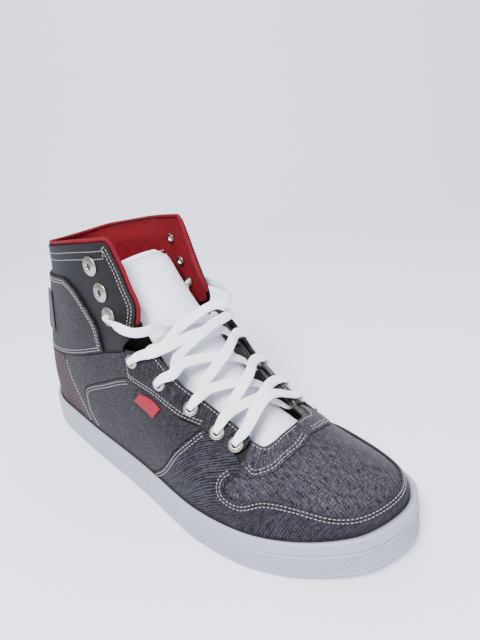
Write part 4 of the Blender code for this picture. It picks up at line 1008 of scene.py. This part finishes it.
def build_side(sign, side):
    """The panels of one side with their stitching."""
    collar_low = [(0.0015, 0.800), (0.223, 0.802), (0.305, 0.806), (0.345, 0.775), (0.378, 0.715),
                  (0.405, 0.640), (0.425, 0.560), (0.440, 0.475), (0.480, 0.505), (0.520, 0.535)]
    grid = patch(resample(collar_low, 130, False), resample([(0.0015, 1.0), (0.490, 1.0)], 130),
                 resample([(0.0015, 0.800), (0.0015, 1.0)], 44),
                 resample([(0.520, 0.535)] + COLLAR_FRONT, 44))
    collar = panel(side + "_collar_leather", on_side(grid, sign), INNER_TOP, PANEL,
                   "smooth_leather", side + "_collar")
    cut_lace_holes(collar)

    seam = shift(ANKLE_SEAM[:4] + [(0.455, 0.508)], 0, SEAM_V)
    seam[0] = (0.0015, seam[0][1])
    top = [(0.0015, 0.832)] + PATCH_EDGE[1:3]
    front = [(0.455, 0.508 + SEAM_V), (0.450, 0.560)] + PATCH_EDGE[6:2:-1] + [PATCH_EDGE[2]]
    grid = patch(resample(seam, 90), resample(top, 90), resample([seam[0], top[0]], 60),
                 resample(front, 60))
    panel(side + "_ankle_denim", on_side(grid, sign), OUTER_TOP, PANEL, "side_denim",
          side + "_ankle_patch")
    upper = joined(resample(top, 60), resample(front, 60)[::-1])
    rows = seam_rows(sign, seam, 80, (0.30, 0.65))
    rows += double_row(on_side(upper, sign), (sign * 0.30, 0.65))
    stitches(side + "_ankle_stitching", rows, OUTER_TOP)

    collar_edge = on_side(joined(resample([(0.560, 0.650)] + COLLAR_FRONT[3:], 60),
                                 resample([(0.490, 1.0), (0.004, 1.0)], 80)), sign)
    stitches(side + "_collar_stitching",
             double_row(collar_edge, (sign * 0.3, 0.85), 0.0024, 0.0046), INNER_TOP)

    tip = (0.531 - SEAM_U, 0.560 - SEAM_V)
    heel_side = shift(HEEL_EDGE[:-1], SEAM_U, 0) + [(0.262 + SEAM_U, 0.375 - SEAM_V)]
    left = joined(resample(heel_side, 40),
                  resample([heel_side[-1]] + shift(ANKLE_SEAM[3:5], 0, -SEAM_V) + [tip], 70))
    right = shift(QUARTER_EDGE, -SEAM_U, SEAM_V)
    right[0] = (right[0][0], 0.0)
    right = resample(right, 109)
    grid = patch(resample([heel_side[0], tuple(right[0])], 34, False),
                 resample([tip, tuple(right[-1])], 34, False), left, right)
    panel(side + "_rear_denim", on_side(with_skirt(grid), sign), OUTER_TOP, PANEL,
          "side_denim", side + "_rear_quarter")

    top = resample(shift(EYESTAY_LOW, 0, -SEAM_V), 90)
    grid = patch(resample([(0.380, 0.0), (0.570 - SEAM_U, 0.0)], 90, False), top,
                 resample(QUARTER_EDGE[:-1] + [tuple(top[0])], 60),
                 resample(shift(FRONT_SEAM[:-1], -SEAM_U, 0) + [tuple(top[-1])], 60))
    panel(side + "_quarter_denim", on_side(with_skirt(grid), sign), OUTER_TOP, PANEL,
          "side_denim", side + "_quarter")
    rows = seam_rows(sign, QUARTER_EDGE, 90, (0.5, 0.2))
    rows += seam_rows(sign, HEEL_EDGE, 60, (0.34, 0.25), (0.0020, 0.0042))
    stitches(side + "_quarter_stitching", rows, OUTER_TOP)

    low = EYESTAY_LOW + [(0.770, 0.535), (0.797, 0.548)]
    high = ANKLE_SEAM[5:] + THROAT[1:]
    grid = patch(resample(low, 130), resample(high, 130),
                 resample([low[0], high[0]], 26, False),
                 resample([low[-1], (0.806, 0.600), high[-1]], 26))
    eyestay = panel(side + "_eyestay_denim", on_side(grid, sign), EYESTAY_TOP, PANEL,
                    "side_denim", side + "_eyestay")
    cut_lace_holes(eyestay)
    rows = seam_rows(sign, EYESTAY_LOW, 80, (0.66, 0.52))
    rows += seam_rows(sign, THROAT, 90, (0.66, 0.50), (SINGLE_ROW,))
    rows += seam_rows(sign, [low[0], high[0]], 20, (0.6, 0.5), (SINGLE_ROW,))
    stitches(side + "_eyestay_stitching", rows, EYESTAY_TOP)

    rows = seam_rows(sign, FRONT_SEAM, 80, (0.75, 0.25))
    stitches(side + "_front_stitching", rows, OUTER_TOP)


def build_toe():
    """Mudguard, vamp and apron."""
    line = shift([(0.738, 0.530), (0.770, 0.535), (0.795, 0.545)], 0, -SEAM_V) + TOE_LINE[1:]
    line[0] = (line[0][0] + SEAM_U, line[0][1])
    around = line + [(2.0 - u, v) for u, v in reversed(line[:-1])]
    left = shift(FRONT_SEAM[:-1], SEAM_U, 0) + [line[0]]
    right = [(2.0 - u, v) for u, v in left]
    grid = patch(resample([left[0], right[0]], 300, False), resample(around, 300),
                 resample(left, 46), resample(right, 46))
    panel("mudguard_twill", with_skirt(grid), OUTER_TOP, PANEL, "twill", "mudguard")
    edge = resample(TOE_LINE[2:] + [(2.0 - u, v) for u, v in reversed(TOE_LINE[2:-1])], 300)
    stitches("mudguard_stitching", double_row(edge, (1.0, 0.05)), OUTER_TOP)

    columns = 220
    edge = resample(VAMP_EDGE + [(2.0 - u, v) for u, v in reversed(VAMP_EDGE[:-1])], columns)
    crown = np.stack([np.linspace(VAMP_CROWN, 2.0 - VAMP_CROWN, columns), np.ones(columns)], axis=1)
    rows = []
    for t in np.linspace(0, 1, 46) ** 1.15:
        row = edge * (1 - t) + crown * t
        back = np.interp(row[0, 1], *np.array(VAMP_REAR).T)
        ends = np.array([[back, row[0, 1]], [2.0 - back, row[0, 1]]])
        rows.append(np.concatenate([ends[:1], row, ends[1:]]))
    panel("toe_vamp_denim", np.array(rows), VAMP_TOP, PANEL, "denim", "toe_vamp", cut_flat=True)

    outer = resample(APRON_OUTER, 60)
    inner = resample(APRON_INNER, 60)
    outer = np.concatenate([outer, (outer * np.array([-1, 1]))[-2::-1]])
    inner = np.concatenate([inner, (inner * np.array([-1, 1]))[-2::-1]])
    shares = np.linspace(0, 1, 14)[:, None, None]
    panel("throat_apron_denim", outer * (1 - shares) + inner * shares, OUTER_TOP, PANEL,
          "denim", "throat_apron")
    rows = []
    for sign in (1, -1):
        edge = on_side(resample(APRON_OUTER, 80), sign)
        rows += double_row(edge[:-1], (sign * 0.84, 0.75))
        inside = on_side(resample(APRON_INNER, 80), sign)
        rows.append(beside(inside[:-1], SINGLE_ROW, (sign * 0.87, 0.8)))
    stitches("apron_stitching", rows, OUTER_TOP)


def build_heel():
    """Heel overlay and the dark piping on its edges."""
    edge = shift(HEEL_EDGE[:-1], -SEAM_U, 0) + [(0.262 - SEAM_U, 0.375 - SEAM_V)]
    top = [(-edge[-1][0], edge[-1][1]), (-0.14, 0.338 - SEAM_V), (0.0, 0.325 - SEAM_V),
           (0.14, 0.338 - SEAM_V), edge[-1]]
    grid = patch(resample([(-edge[0][0], 0.0), edge[0]], 150, False), resample(top, 150),
                 resample(mirror(edge), 50), resample(edge, 50))
    panel("heel_overlay_cloth", with_skirt(grid), OUTER_TOP, PANEL, "maroon", "heel_overlay")
    rows = [beside(resample(top, 160), SINGLE_ROW, (0.0, 0.1))]
    for sign in (1, -1):
        rows += seam_rows(sign, edge, 60, (0.2, 0.2), (0.0020,))
        piping = on_side(resample(HEEL_EDGE, 70), sign)
        tube("heel_piping_" + ("lateral" if sign > 0 else "medial"), place(piping, -0.0001),
             HEEL_PIPING_RADIUS, 10, "black_lining")
    stitches("heel_stitching", rows, OUTER_TOP, finish="dark_thread")


def build_linings():
    """Black lower lining, padded red collar lining and red piping."""
    tops = np.array([(0.0, 0.500), (0.25, 0.505), (0.43, 0.545), (0.53, 0.555), (0.60, 0.570),
                     (0.656, 0.588), (0.686, 0.612), (0.725, 0.656), (0.768, 0.686),
                     (0.812, 0.698), (0.835, 0.720), (0.845, 0.860), (0.852, 1.0), (1.0, 1.0)])
    places = resample([(-1.0, 0.0), (1.0, 0.0)], 321, False)[:, 0]
    high = np.interp(np.abs(places), tops[:, 0], tops[:, 1])
    shares = np.linspace(0, 1, 44)[:, None]
    grid = np.stack([np.broadcast_to(places, (44, 321)), high * shares], axis=-1)
    lower = panel("lower_lining_knit", with_skirt(grid), LINER_TOP, LINING, "black_lining",
                  "lower_lining")
    cut_lace_holes(lower)

    low_edge = [(-0.548, 0.620), (-0.50, 0.585), (-0.43, 0.557), (-0.25, 0.518), (0.0, 0.512),
                (0.25, 0.518), (0.43, 0.557), (0.50, 0.585), (0.548, 0.620)]
    front = [low_edge[-1]] + COLLAR_FRONT[2:]
    grid = patch(resample(low_edge, 240), resample([(-0.490, 1.0), (0.490, 1.0)], 240, False),
                 resample(mirror(front), 70), resample(front, 70))
    lining = panel("collar_lining_knit", grid, LINER_TOP, LINING, "red_lining",
                   "collar_lining", extra=puffed)
    cut_lace_holes(lining)

    edge = joined(resample(COLLAR_FRONT[2:-1] + [(0.492, 1.0)], 80),
                  resample([(0.492, 1.0), (0.0, 1.0)], 120, False))
    run = joined(edge, (edge * np.array([-1, 1]))[::-1])
    middle = (INNER_TOP - PANEL + LINER_TOP - LINING) / 2
    points = skin(run[:, 0], run[:, 1])
    normals = skin_normal(run[:, 0], run[:, 1])
    away = np.cross(normals, np.gradient(points, axis=0))
    away /= np.linalg.norm(away, axis=1, keepdims=True)
    inside = np.array([-0.25 * SOLE_LENGTH, 0, 0.4 * COLLAR_HEIGHT])
    away[np.sum(away * (points - inside), axis=1) < 0] *= -1
    piping = tube("collar_edge_piping", place(run, middle) + away * PIPING_OUT, PIPING_RADIUS, 14,
                  "red_lining")
    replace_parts(piping, "collar_piping")


def puffed(u, v):
    """Collar padding with the soft puckers of a quilted lining."""
    pucker = 0.00022 * np.sin(u * 95.0) * np.sin(v * 60.0 + 2.0 * u)
    inner = smooth(v, 0.60, 0.72) * (1 - smooth(v, 0.86, 0.97))
    return padding(u, v) + pucker * inner


# ---- eyelets and trim -------------------------------------------------------------------
EYELET_SIDES = 40
RING_RADIUS = 0.0043
WASHER_RADIUS = 0.0061
BORE_RADIUS = 0.0019
BARREL_RADIUS = 0.0024
BACK_RADIUS = 0.0034
TAB_TOP = 0.0014
TAB_THICKNESS = 0.0010
BADGE_TOP = 0.0011
BADGE_THICKNESS = 0.0009
BADGE_CORD_RADIUS = 0.00065


def eyelet_frame(sign, number):
    """Centre on the skin, outward direction and two directions across it."""
    u, v = EYELETS[number]
    u, v = np.array(sign * u), np.array(v)
    normal = skin_normal(u, v)
    across = np.cross(normal, [0.0, 0.0, 1.0])
    across /= np.linalg.norm(across)
    return skin(u, v), normal, across, np.cross(normal, across)


def build_eyelets():
    """Small domed rings below and wide flat washers above, each with a rolled barrel."""
    back = LINER_TOP - LINING - 0.0006
    angles = np.linspace(0, 2 * math.pi, EYELET_SIDES, endpoint=False)
    for number in range(len(EYELETS)):
        wide = number in WASHER_EYELETS
        seat = (INNER_TOP if wide else OUTER_TOP) + 0.0003
        rim = WASHER_RADIUS if wide else RING_RADIUS
        lip = 0.0031 if wide else 0.0028
        profile = [(BORE_RADIUS, back - 0.0004), (BORE_RADIUS, seat + 0.0002),
                   (0.0021, seat + 0.0009),
                   (0.0025, seat + 0.0012), (lip, seat + 0.0011), (lip + 0.0004, seat + 0.0007),
                   (rim - 0.0007, seat + 0.0006), (rim - 0.0002, seat + 0.0004), (rim, seat),
                   (rim - 0.0004, seat - 0.0002), (BARREL_RADIUS, seat - 0.0002),
                   (BARREL_RADIUS, back), (BACK_RADIUS, back),
                   (BACK_RADIUS - 0.0002, back - 0.0006)]
        for sign, side in ((1, "lateral"), (-1, "medial")):
            centre, normal, across, other = eyelet_frame(sign, number)
            out = np.cos(angles)[:, None] * across + np.sin(angles)[:, None] * other
            rings = [centre + out * radius + normal * depth for radius, depth in profile]
            rings.append(rings[0])
            mesh = grid_mesh("eyelet_{}_{}".format(side, number + 1), np.array(rings), closed=True)
            weld(mesh)
            work = bmesh_of(mesh)
            bmesh.ops.recalc_face_normals(work, faces=work.faces)
            work.to_mesh(mesh)
            work.free()
            ring = link(mesh.name, mesh, "metal")
            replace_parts(ring, "{}_eyelet_{}".format(side, number + 1))


def build_trim():
    """Red side tab and the generic striped ankle badge with its corded edge."""
    grid = patch(resample(TAB[:2], 34, False), resample([TAB[3], TAB[2]], 34, False),
                 resample([TAB[0], TAB[3]], 20, False), resample([TAB[1], TAB[2]], 20, False))
    panel("side_tab_ribbon", grid, TAB_TOP, TAB_THICKNESS, "red_tab", "side_tab")
    grid = patch(resample(BADGE[:2], 24, False), resample([BADGE[3], BADGE[2]], 24, False),
                 resample([BADGE[0], BADGE[3]], 40, False), resample(BADGE[1:3], 40, False))
    panel("ankle_badge_cloth", grid, BADGE_TOP, BADGE_THICKNESS, "embroidery", "ankle_badge")
    outline = joined(*[resample([a, b], 20, False) for a, b in zip(BADGE, BADGE[1:] + BADGE[:1])])
    tube("ankle_badge_cord", place(outline, BADGE_TOP), BADGE_CORD_RADIUS, 8, "dark_thread")


# ---- lace -------------------------------------------------------------------------------
LACE_STEP = 0.0008
LACE_SECTION = np.array([(-1.0, 0.0), (-0.94, 0.55), (-0.8, 0.92), (-0.4, 1.0), (0.0, 1.0),
                         (0.4, 1.0), (0.8, 0.92), (0.94, 0.55), (1.0, 0.0), (0.94, -0.55),
                         (0.8, -0.92), (0.4, -1.0), (0.0, -1.0), (-0.4, -1.0), (-0.8, -0.92),
                         (-0.94, -0.55)])


def entry(side, where, depth, width=LACE_WIDTH, hole=False):
    """One station of the lace on the skin; in a hole the width direction carries on."""
    spot = (side * where[0], where[1])
    normal = None if hole else skin_normal(np.array(spot[0]), np.array(spot[1]))
    return place(spot, depth), normal, width


def mixed(first, second, share):
    """Place part of the way from one place to another."""
    return tuple(a * (1 - share) + b * share for a, b in zip(first, second))


def lace_half(first_side):
    """Stations of the lace from the middle of its lowest bar to the end of one free end."""
    half = LACE_THICKNESS / 2
    back = LINER_TOP - LINING
    under = back - GAP - half
    over = GAP + half
    top = skin_normal(np.array(first_side * ROW_MIDDLE[0]), np.array(0.998))
    run = [(place((ROW_MIDDLE[0], 1.0), BAR_LIFT), top, LACE_WIDTH)]
    side = first_side
    for number in range(LACED_ROWS):
        where = EYELETS[number]
        seat = INNER_TOP if number in WASHER_EYELETS else OUTER_TOP
        above = seat + EYELET_RISE + GAP + half
        edge = FLAP_EDGE[number]
        if number == LACED_ROWS - 1:
            run += [(np.array(point) * SCALES + SHIFT, np.array(outward), LACE_WIDTH)
                    for point, outward in LOOP[side]]
        else:
            if 0 < number < LACED_ROWS - 2:
                run.append(entry(side, mixed(edge, (crossing, 1.0), ARM), 0.45 * drop))
            run.append(entry(side, edge, over + 0.0010))
            near = mixed(where, edge, 0.45)
            run.append(entry(side, near, above + 0.0003, 0.85 * LACE_WIDTH))
        run.append(entry(side, where, above + 0.0003, 1.2 * LACE_FOLDED, True))
        run.append(entry(side, where, seat - 0.0008, LACE_FOLDED, True))
        run.append(entry(side, where, back - 0.0024, LACE_FOLDED, True))
        if number < LACED_ROWS - 1:
            crossing = (ROW_MIDDLE[number] + ROW_MIDDLE[number + 1]) / 2
            run.append(entry(side, mixed(near, (crossing, 1.0), 0.03), under - 0.0016,
                             0.85 * LACE_WIDTH))
            run.append(entry(side, mixed(edge, (crossing, 1.0), 0.06), under - 0.0010))
            if number < LACED_ROWS - 2:
                drop = -CROSSING_DEPTH[number] + (CROSSING_STEP if side == 1 else 0.0)
                low = 0.85 * (under - 0.0010) + 0.15 * drop
                run.append(entry(side, mixed(edge, (crossing, 1.0), ARM), low))
                run.append(entry(side, (crossing, 1.0), drop))
            side = -side
    for u, v, depth in TAIL_LINING:
        inner = padding(np.array(u), np.array(v))
        run.append(entry(side, (u, v), back - inner - GAP - half - depth))
    for x, y, lift in TAIL_FOOTBED[side]:
        x, y = x * X_SCALE, y * Y_SCALE
        point = np.array([x, y, sole_top(x) - FOOTBED_DROP + 0.0038 + lift / 1000]) + SHIFT
        run.append((point, np.array([0, 0, 1.0]), LACE_WIDTH))
    return run


def lace_frames():
    """Stations of the whole lace with the direction across its width at each."""
    run = list(reversed(lace_half(-1)[1:])) + lace_half(1)
    points = np.array([item[0] for item in run])
    widths = np.array([item[2] for item in run])
    sides = []
    across = None
    for index, (_, normal, _) in enumerate(run):
        along = points[min(index + 1, len(run) - 1)] - points[max(index - 1, 0)]
        along = along / np.linalg.norm(along)
        fresh = across if normal is None else np.cross(along, normal)
        if across is not None and fresh @ across < 0:
            fresh = -fresh
        across = fresh - along * (fresh @ along)
        across = across / np.linalg.norm(across)
        sides.append(across)
    return points, np.array(sides), widths


def centripetal(points, values, per_span):
    """Smooth curve through stations that does not overshoot where they crowd."""
    knots = np.concatenate([[0], np.cumsum(np.sqrt(np.linalg.norm(np.diff(points, axis=0),
                                                                  axis=1)))])
    slopes = np.gradient(values, knots, axis=0)
    found = []
    for k in range(len(knots) - 1):
        span = knots[k + 1] - knots[k]
        t = np.linspace(0, 1, per_span[k], endpoint=False)[:, None]
        found.append((1 + 2 * t) * (1 - t) ** 2 * values[k] + t * (1 - t) ** 2 * span * slopes[k]
                     + t * t * (3 - 2 * t) * values[k + 1] + t * t * (t - 1) * span * slopes[k + 1])
    return np.concatenate(found + [values[-1:]])


def build_lace():
    """Flat woven lace through six pairs of eyelets with its two ends tucked inside."""
    points, sides, widths = lace_frames()
    spans = np.linalg.norm(np.diff(points, axis=0), axis=1)
    counts = np.maximum(2, np.round(spans / LACE_STEP).astype(int))
    centres = centripetal(points, points, counts)
    across = centripetal(points, sides, counts)
    width = centripetal(points, widths[:, None], counts)[:, 0]
    along = np.gradient(centres, axis=0)
    along /= np.linalg.norm(along, axis=1, keepdims=True)
    across -= along * np.sum(across * along, axis=1, keepdims=True)
    across /= np.linalg.norm(across, axis=1, keepdims=True)
    flat = np.cross(along, across)
    travel = track_length(centres)
    ripple = 1 + 0.03 * np.sin(travel * 2 * math.pi / 0.0017)
    rings = (centres[:, None]
             + LACE_SECTION[None, :, :1] * (width * 0.5 * ripple)[:, None, None] * across[:, None]
             + LACE_SECTION[None, :, 1:] * (LACE_THICKNESS * 0.5) * flat[:, None])
    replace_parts(closed_loft("woven_lace", rings, "lace"), "lace")
    for name, tip, before in (("lace_tip_lateral", 0, 1), ("lace_tip_medial", -1, -2)):
        direction = points[tip] - points[before]
        direction /= np.linalg.norm(direction)
        start = points[tip] + direction * GAP
        run = start + direction * np.linspace(0, AGLET_LENGTH, 12)[:, None]
        tip = tube(name + "_sleeve", run, AGLET_RADIUS, 20, "aglet_plastic")
        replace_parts(tip, name)


# ---- tongue -----------------------------------------------------------------------------
TONGUE_SEAM = 0.93


def tongue_grid(shares, across, depth, reach):
    """Points of the tongue; shares run from the sewn end to the top, across is -1 to 1."""
    steps = np.linspace(0, 1, len(TONGUE))
    curve = natural_spline(steps, TONGUE)
    x, z, width, droop = curve(shares).T
    slope = curve(np.minimum(shares + 0.02, 1.0)) - curve(np.maximum(shares - 0.02, 0.0))
    normal = np.stack([slope[:, 1] * Z_SCALE, 0 * x, -slope[:, 0] * X_SCALE], axis=1)
    normal /= np.linalg.norm(normal, axis=1, keepdims=True)
    s = across[None, :] * reach[:, None]
    down = depth - droop[:, None] * Z_SCALE * s ** 2
    middle = np.stack([np.broadcast_to((x * X_SCALE)[:, None], s.shape),
                       -s * width[:, None] * Y_SCALE,
                       np.broadcast_to((z * Z_SCALE)[:, None], s.shape)], axis=-1)
    return middle + normal[:, None] * down[..., None] + SHIFT, normal


def build_tongue():
    """Padded tongue: front and back covers sewn round one soft filling."""
    rows, columns = 150, 61
    shares = np.linspace(0, 1, rows)
    across = np.sin(np.linspace(-1, 1, columns) * math.pi / 2)
    reach = 1 - 0.25 * smooth(shares, 0.90, 1.0)
    end = np.sqrt(np.clip(1 - across ** 4, 0, 1))[None, :]
    run = np.sqrt(np.clip(1 - (2 * np.abs(shares - 0.5)) ** 10, 0, 1))[:, None]
    swell = np.clip(end * run, 0.12, 1.0)
    seam = np.exp(-((shares - TONGUE_SEAM) / 0.010) ** 2)[:, None] * 0.0009
    pucker = 0.00018 * np.sin(shares * 160)[:, None] * np.sin(across * 9)[None, :]
    middle = -TONGUE_DEPTH / 2
    front, _ = tongue_grid(shares, across, middle + TONGUE_DEPTH / 2 * swell - seam
                           + pucker * swell, reach)
    rear, _ = tongue_grid(shares, across, middle - TONGUE_DEPTH / 2 * swell + 0.6 * seam, reach)
    rings = np.concatenate([front, rear[:, ::-1]], axis=1)
    tongue = closed_loft("padded_tongue", rings, "white_textile", "tongue")
    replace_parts(tongue, "tongue_face", "tongue_foam", "tongue_lining")

    sets = []
    for share in (TONGUE_SEAM - 0.018, TONGUE_SEAM + 0.018):
        line, normal = tongue_grid(np.full(2, share), np.linspace(-0.9, 0.9, 80),
                                   np.full((2, 80), -0.0001), np.ones(2))
        sets.append(stitch_points(line[0], np.broadcast_to(normal[0], (80, 3))))
    edge_rows = np.linspace(0.30, 0.90, 150)
    for side in (-0.87, 0.87):
        line, normal = tongue_grid(edge_rows, np.array([side, side]), np.full((150, 2), -0.0007),
                                   np.ones(150))
        sets.append(stitch_points(line[:, 0], normal))
    stitch_mesh("tongue_stitching", sets, "tongue", "thread_white")


# ---- set --------------------------------------------------------------------------------
# Soft square lights: name, position, the point each one faces, side length, power, colour.
LIGHTS = [
    ("key", (0.35, -0.75, 1.05), (0.0, 0.0, 0.06), 0.5, 44.0, (1.0, 0.99, 0.98)),
    ("fill", (1.1, 0.25, 0.55), (0.0, 0.0, 0.08), 0.9, 6.0, (0.93, 0.95, 1.0)),
    ("top", (-0.25, 0.25, 1.2), (0.0, 0.0, 0.05), 1.0, 8.0, (1.0, 1.0, 1.0))]
WORLD_COLOUR = (0.86, 0.90, 1.0, 1.0)
WORLD_STRENGTH = 0.72
# Backdrop: how far the floor runs in front, where it bends up, the bend, height and half width.
FLOOR_FRONT, FLOOR_BACK, FLOOR_BEND, WALL_TOP, HALF_WIDTH = -2.0, 0.6, 0.5, 2.5, 3


def area_light(name, position, target, size, power, colour):
    """Soft square light facing a point."""
    data = bpy.data.lights.new(name, "AREA")
    data.shape = "SQUARE"
    data.size = size
    data.energy = power
    data.color = colour
    lamp = bpy.data.objects.new(name, data)
    bpy.context.scene.collection.objects.link(lamp)
    lamp.location = position
    lamp.rotation_euler = (Vector(target) - Vector(position)).to_track_quat("-Z", "Y").to_euler()


def build_set():
    """Pale floor that sweeps up into a wall, soft lights and an even surround."""
    made = Material("backdrop", 0.8, Specular_IOR_Level=0.2)
    clouds = made.noise(made.solid(1.2), detail=1.0)
    made.set("Base Color", made.ramp(clouds, (0.3, (0.81, 0.84, 0.94)), (0.7, (0.83, 0.86, 0.96))))
    angles = np.linspace(0, math.pi / 2, 24)
    profile = [(FLOOR_FRONT, 0.0), (FLOOR_BACK - 0.2, 0.0)]
    profile += [(FLOOR_BACK + FLOOR_BEND * math.sin(a), FLOOR_BEND * (1 - math.cos(a)))
                for a in angles]
    profile.append((FLOOR_BACK + FLOOR_BEND, WALL_TOP))
    away = Vector((-math.sin(CAMERA_AZIMUTH), math.cos(CAMERA_AZIMUTH), 0.0))
    side = Vector((math.cos(CAMERA_AZIMUTH), math.sin(CAMERA_AZIMUTH), 0.0))
    steps = np.linspace(-HALF_WIDTH, HALF_WIDTH, 9)
    rows = [[away * d + side * s + Vector((0, 0, z)) for s in steps] for d, z in profile]
    mesh = grid_mesh("backdrop", np.array(rows), True)
    mesh.materials.append(made.data)
    mesh.polygons.foreach_set("use_smooth", [True] * len(mesh.polygons))
    backdrop = bpy.data.objects.new("backdrop", mesh)
    bpy.context.scene.collection.objects.link(backdrop)

    world = bpy.data.worlds.new("surround")
    world.use_nodes = True
    background = world.node_tree.nodes["Background"]
    background.inputs["Color"].default_value = WORLD_COLOUR
    background.inputs["Strength"].default_value = WORLD_STRENGTH
    bpy.context.scene.world = world
    for light in LIGHTS:
        area_light(*light)


# ---- build everything -------------------------------------------------------------------
SHIFT = np.zeros(3)
SKIN = build_skin()
SHIFT = sole_shift()
FINISH = build_materials()
finish_cad_nodes()
build_sole()
build_footbed()
for SIGN, SIDE in ((1, "lateral"), (-1, "medial")):
    build_side(SIGN, SIDE)
build_toe()
build_heel()
build_linings()
build_eyelets()
build_trim()
build_lace()
build_tongue()
build_set()
make_camera()
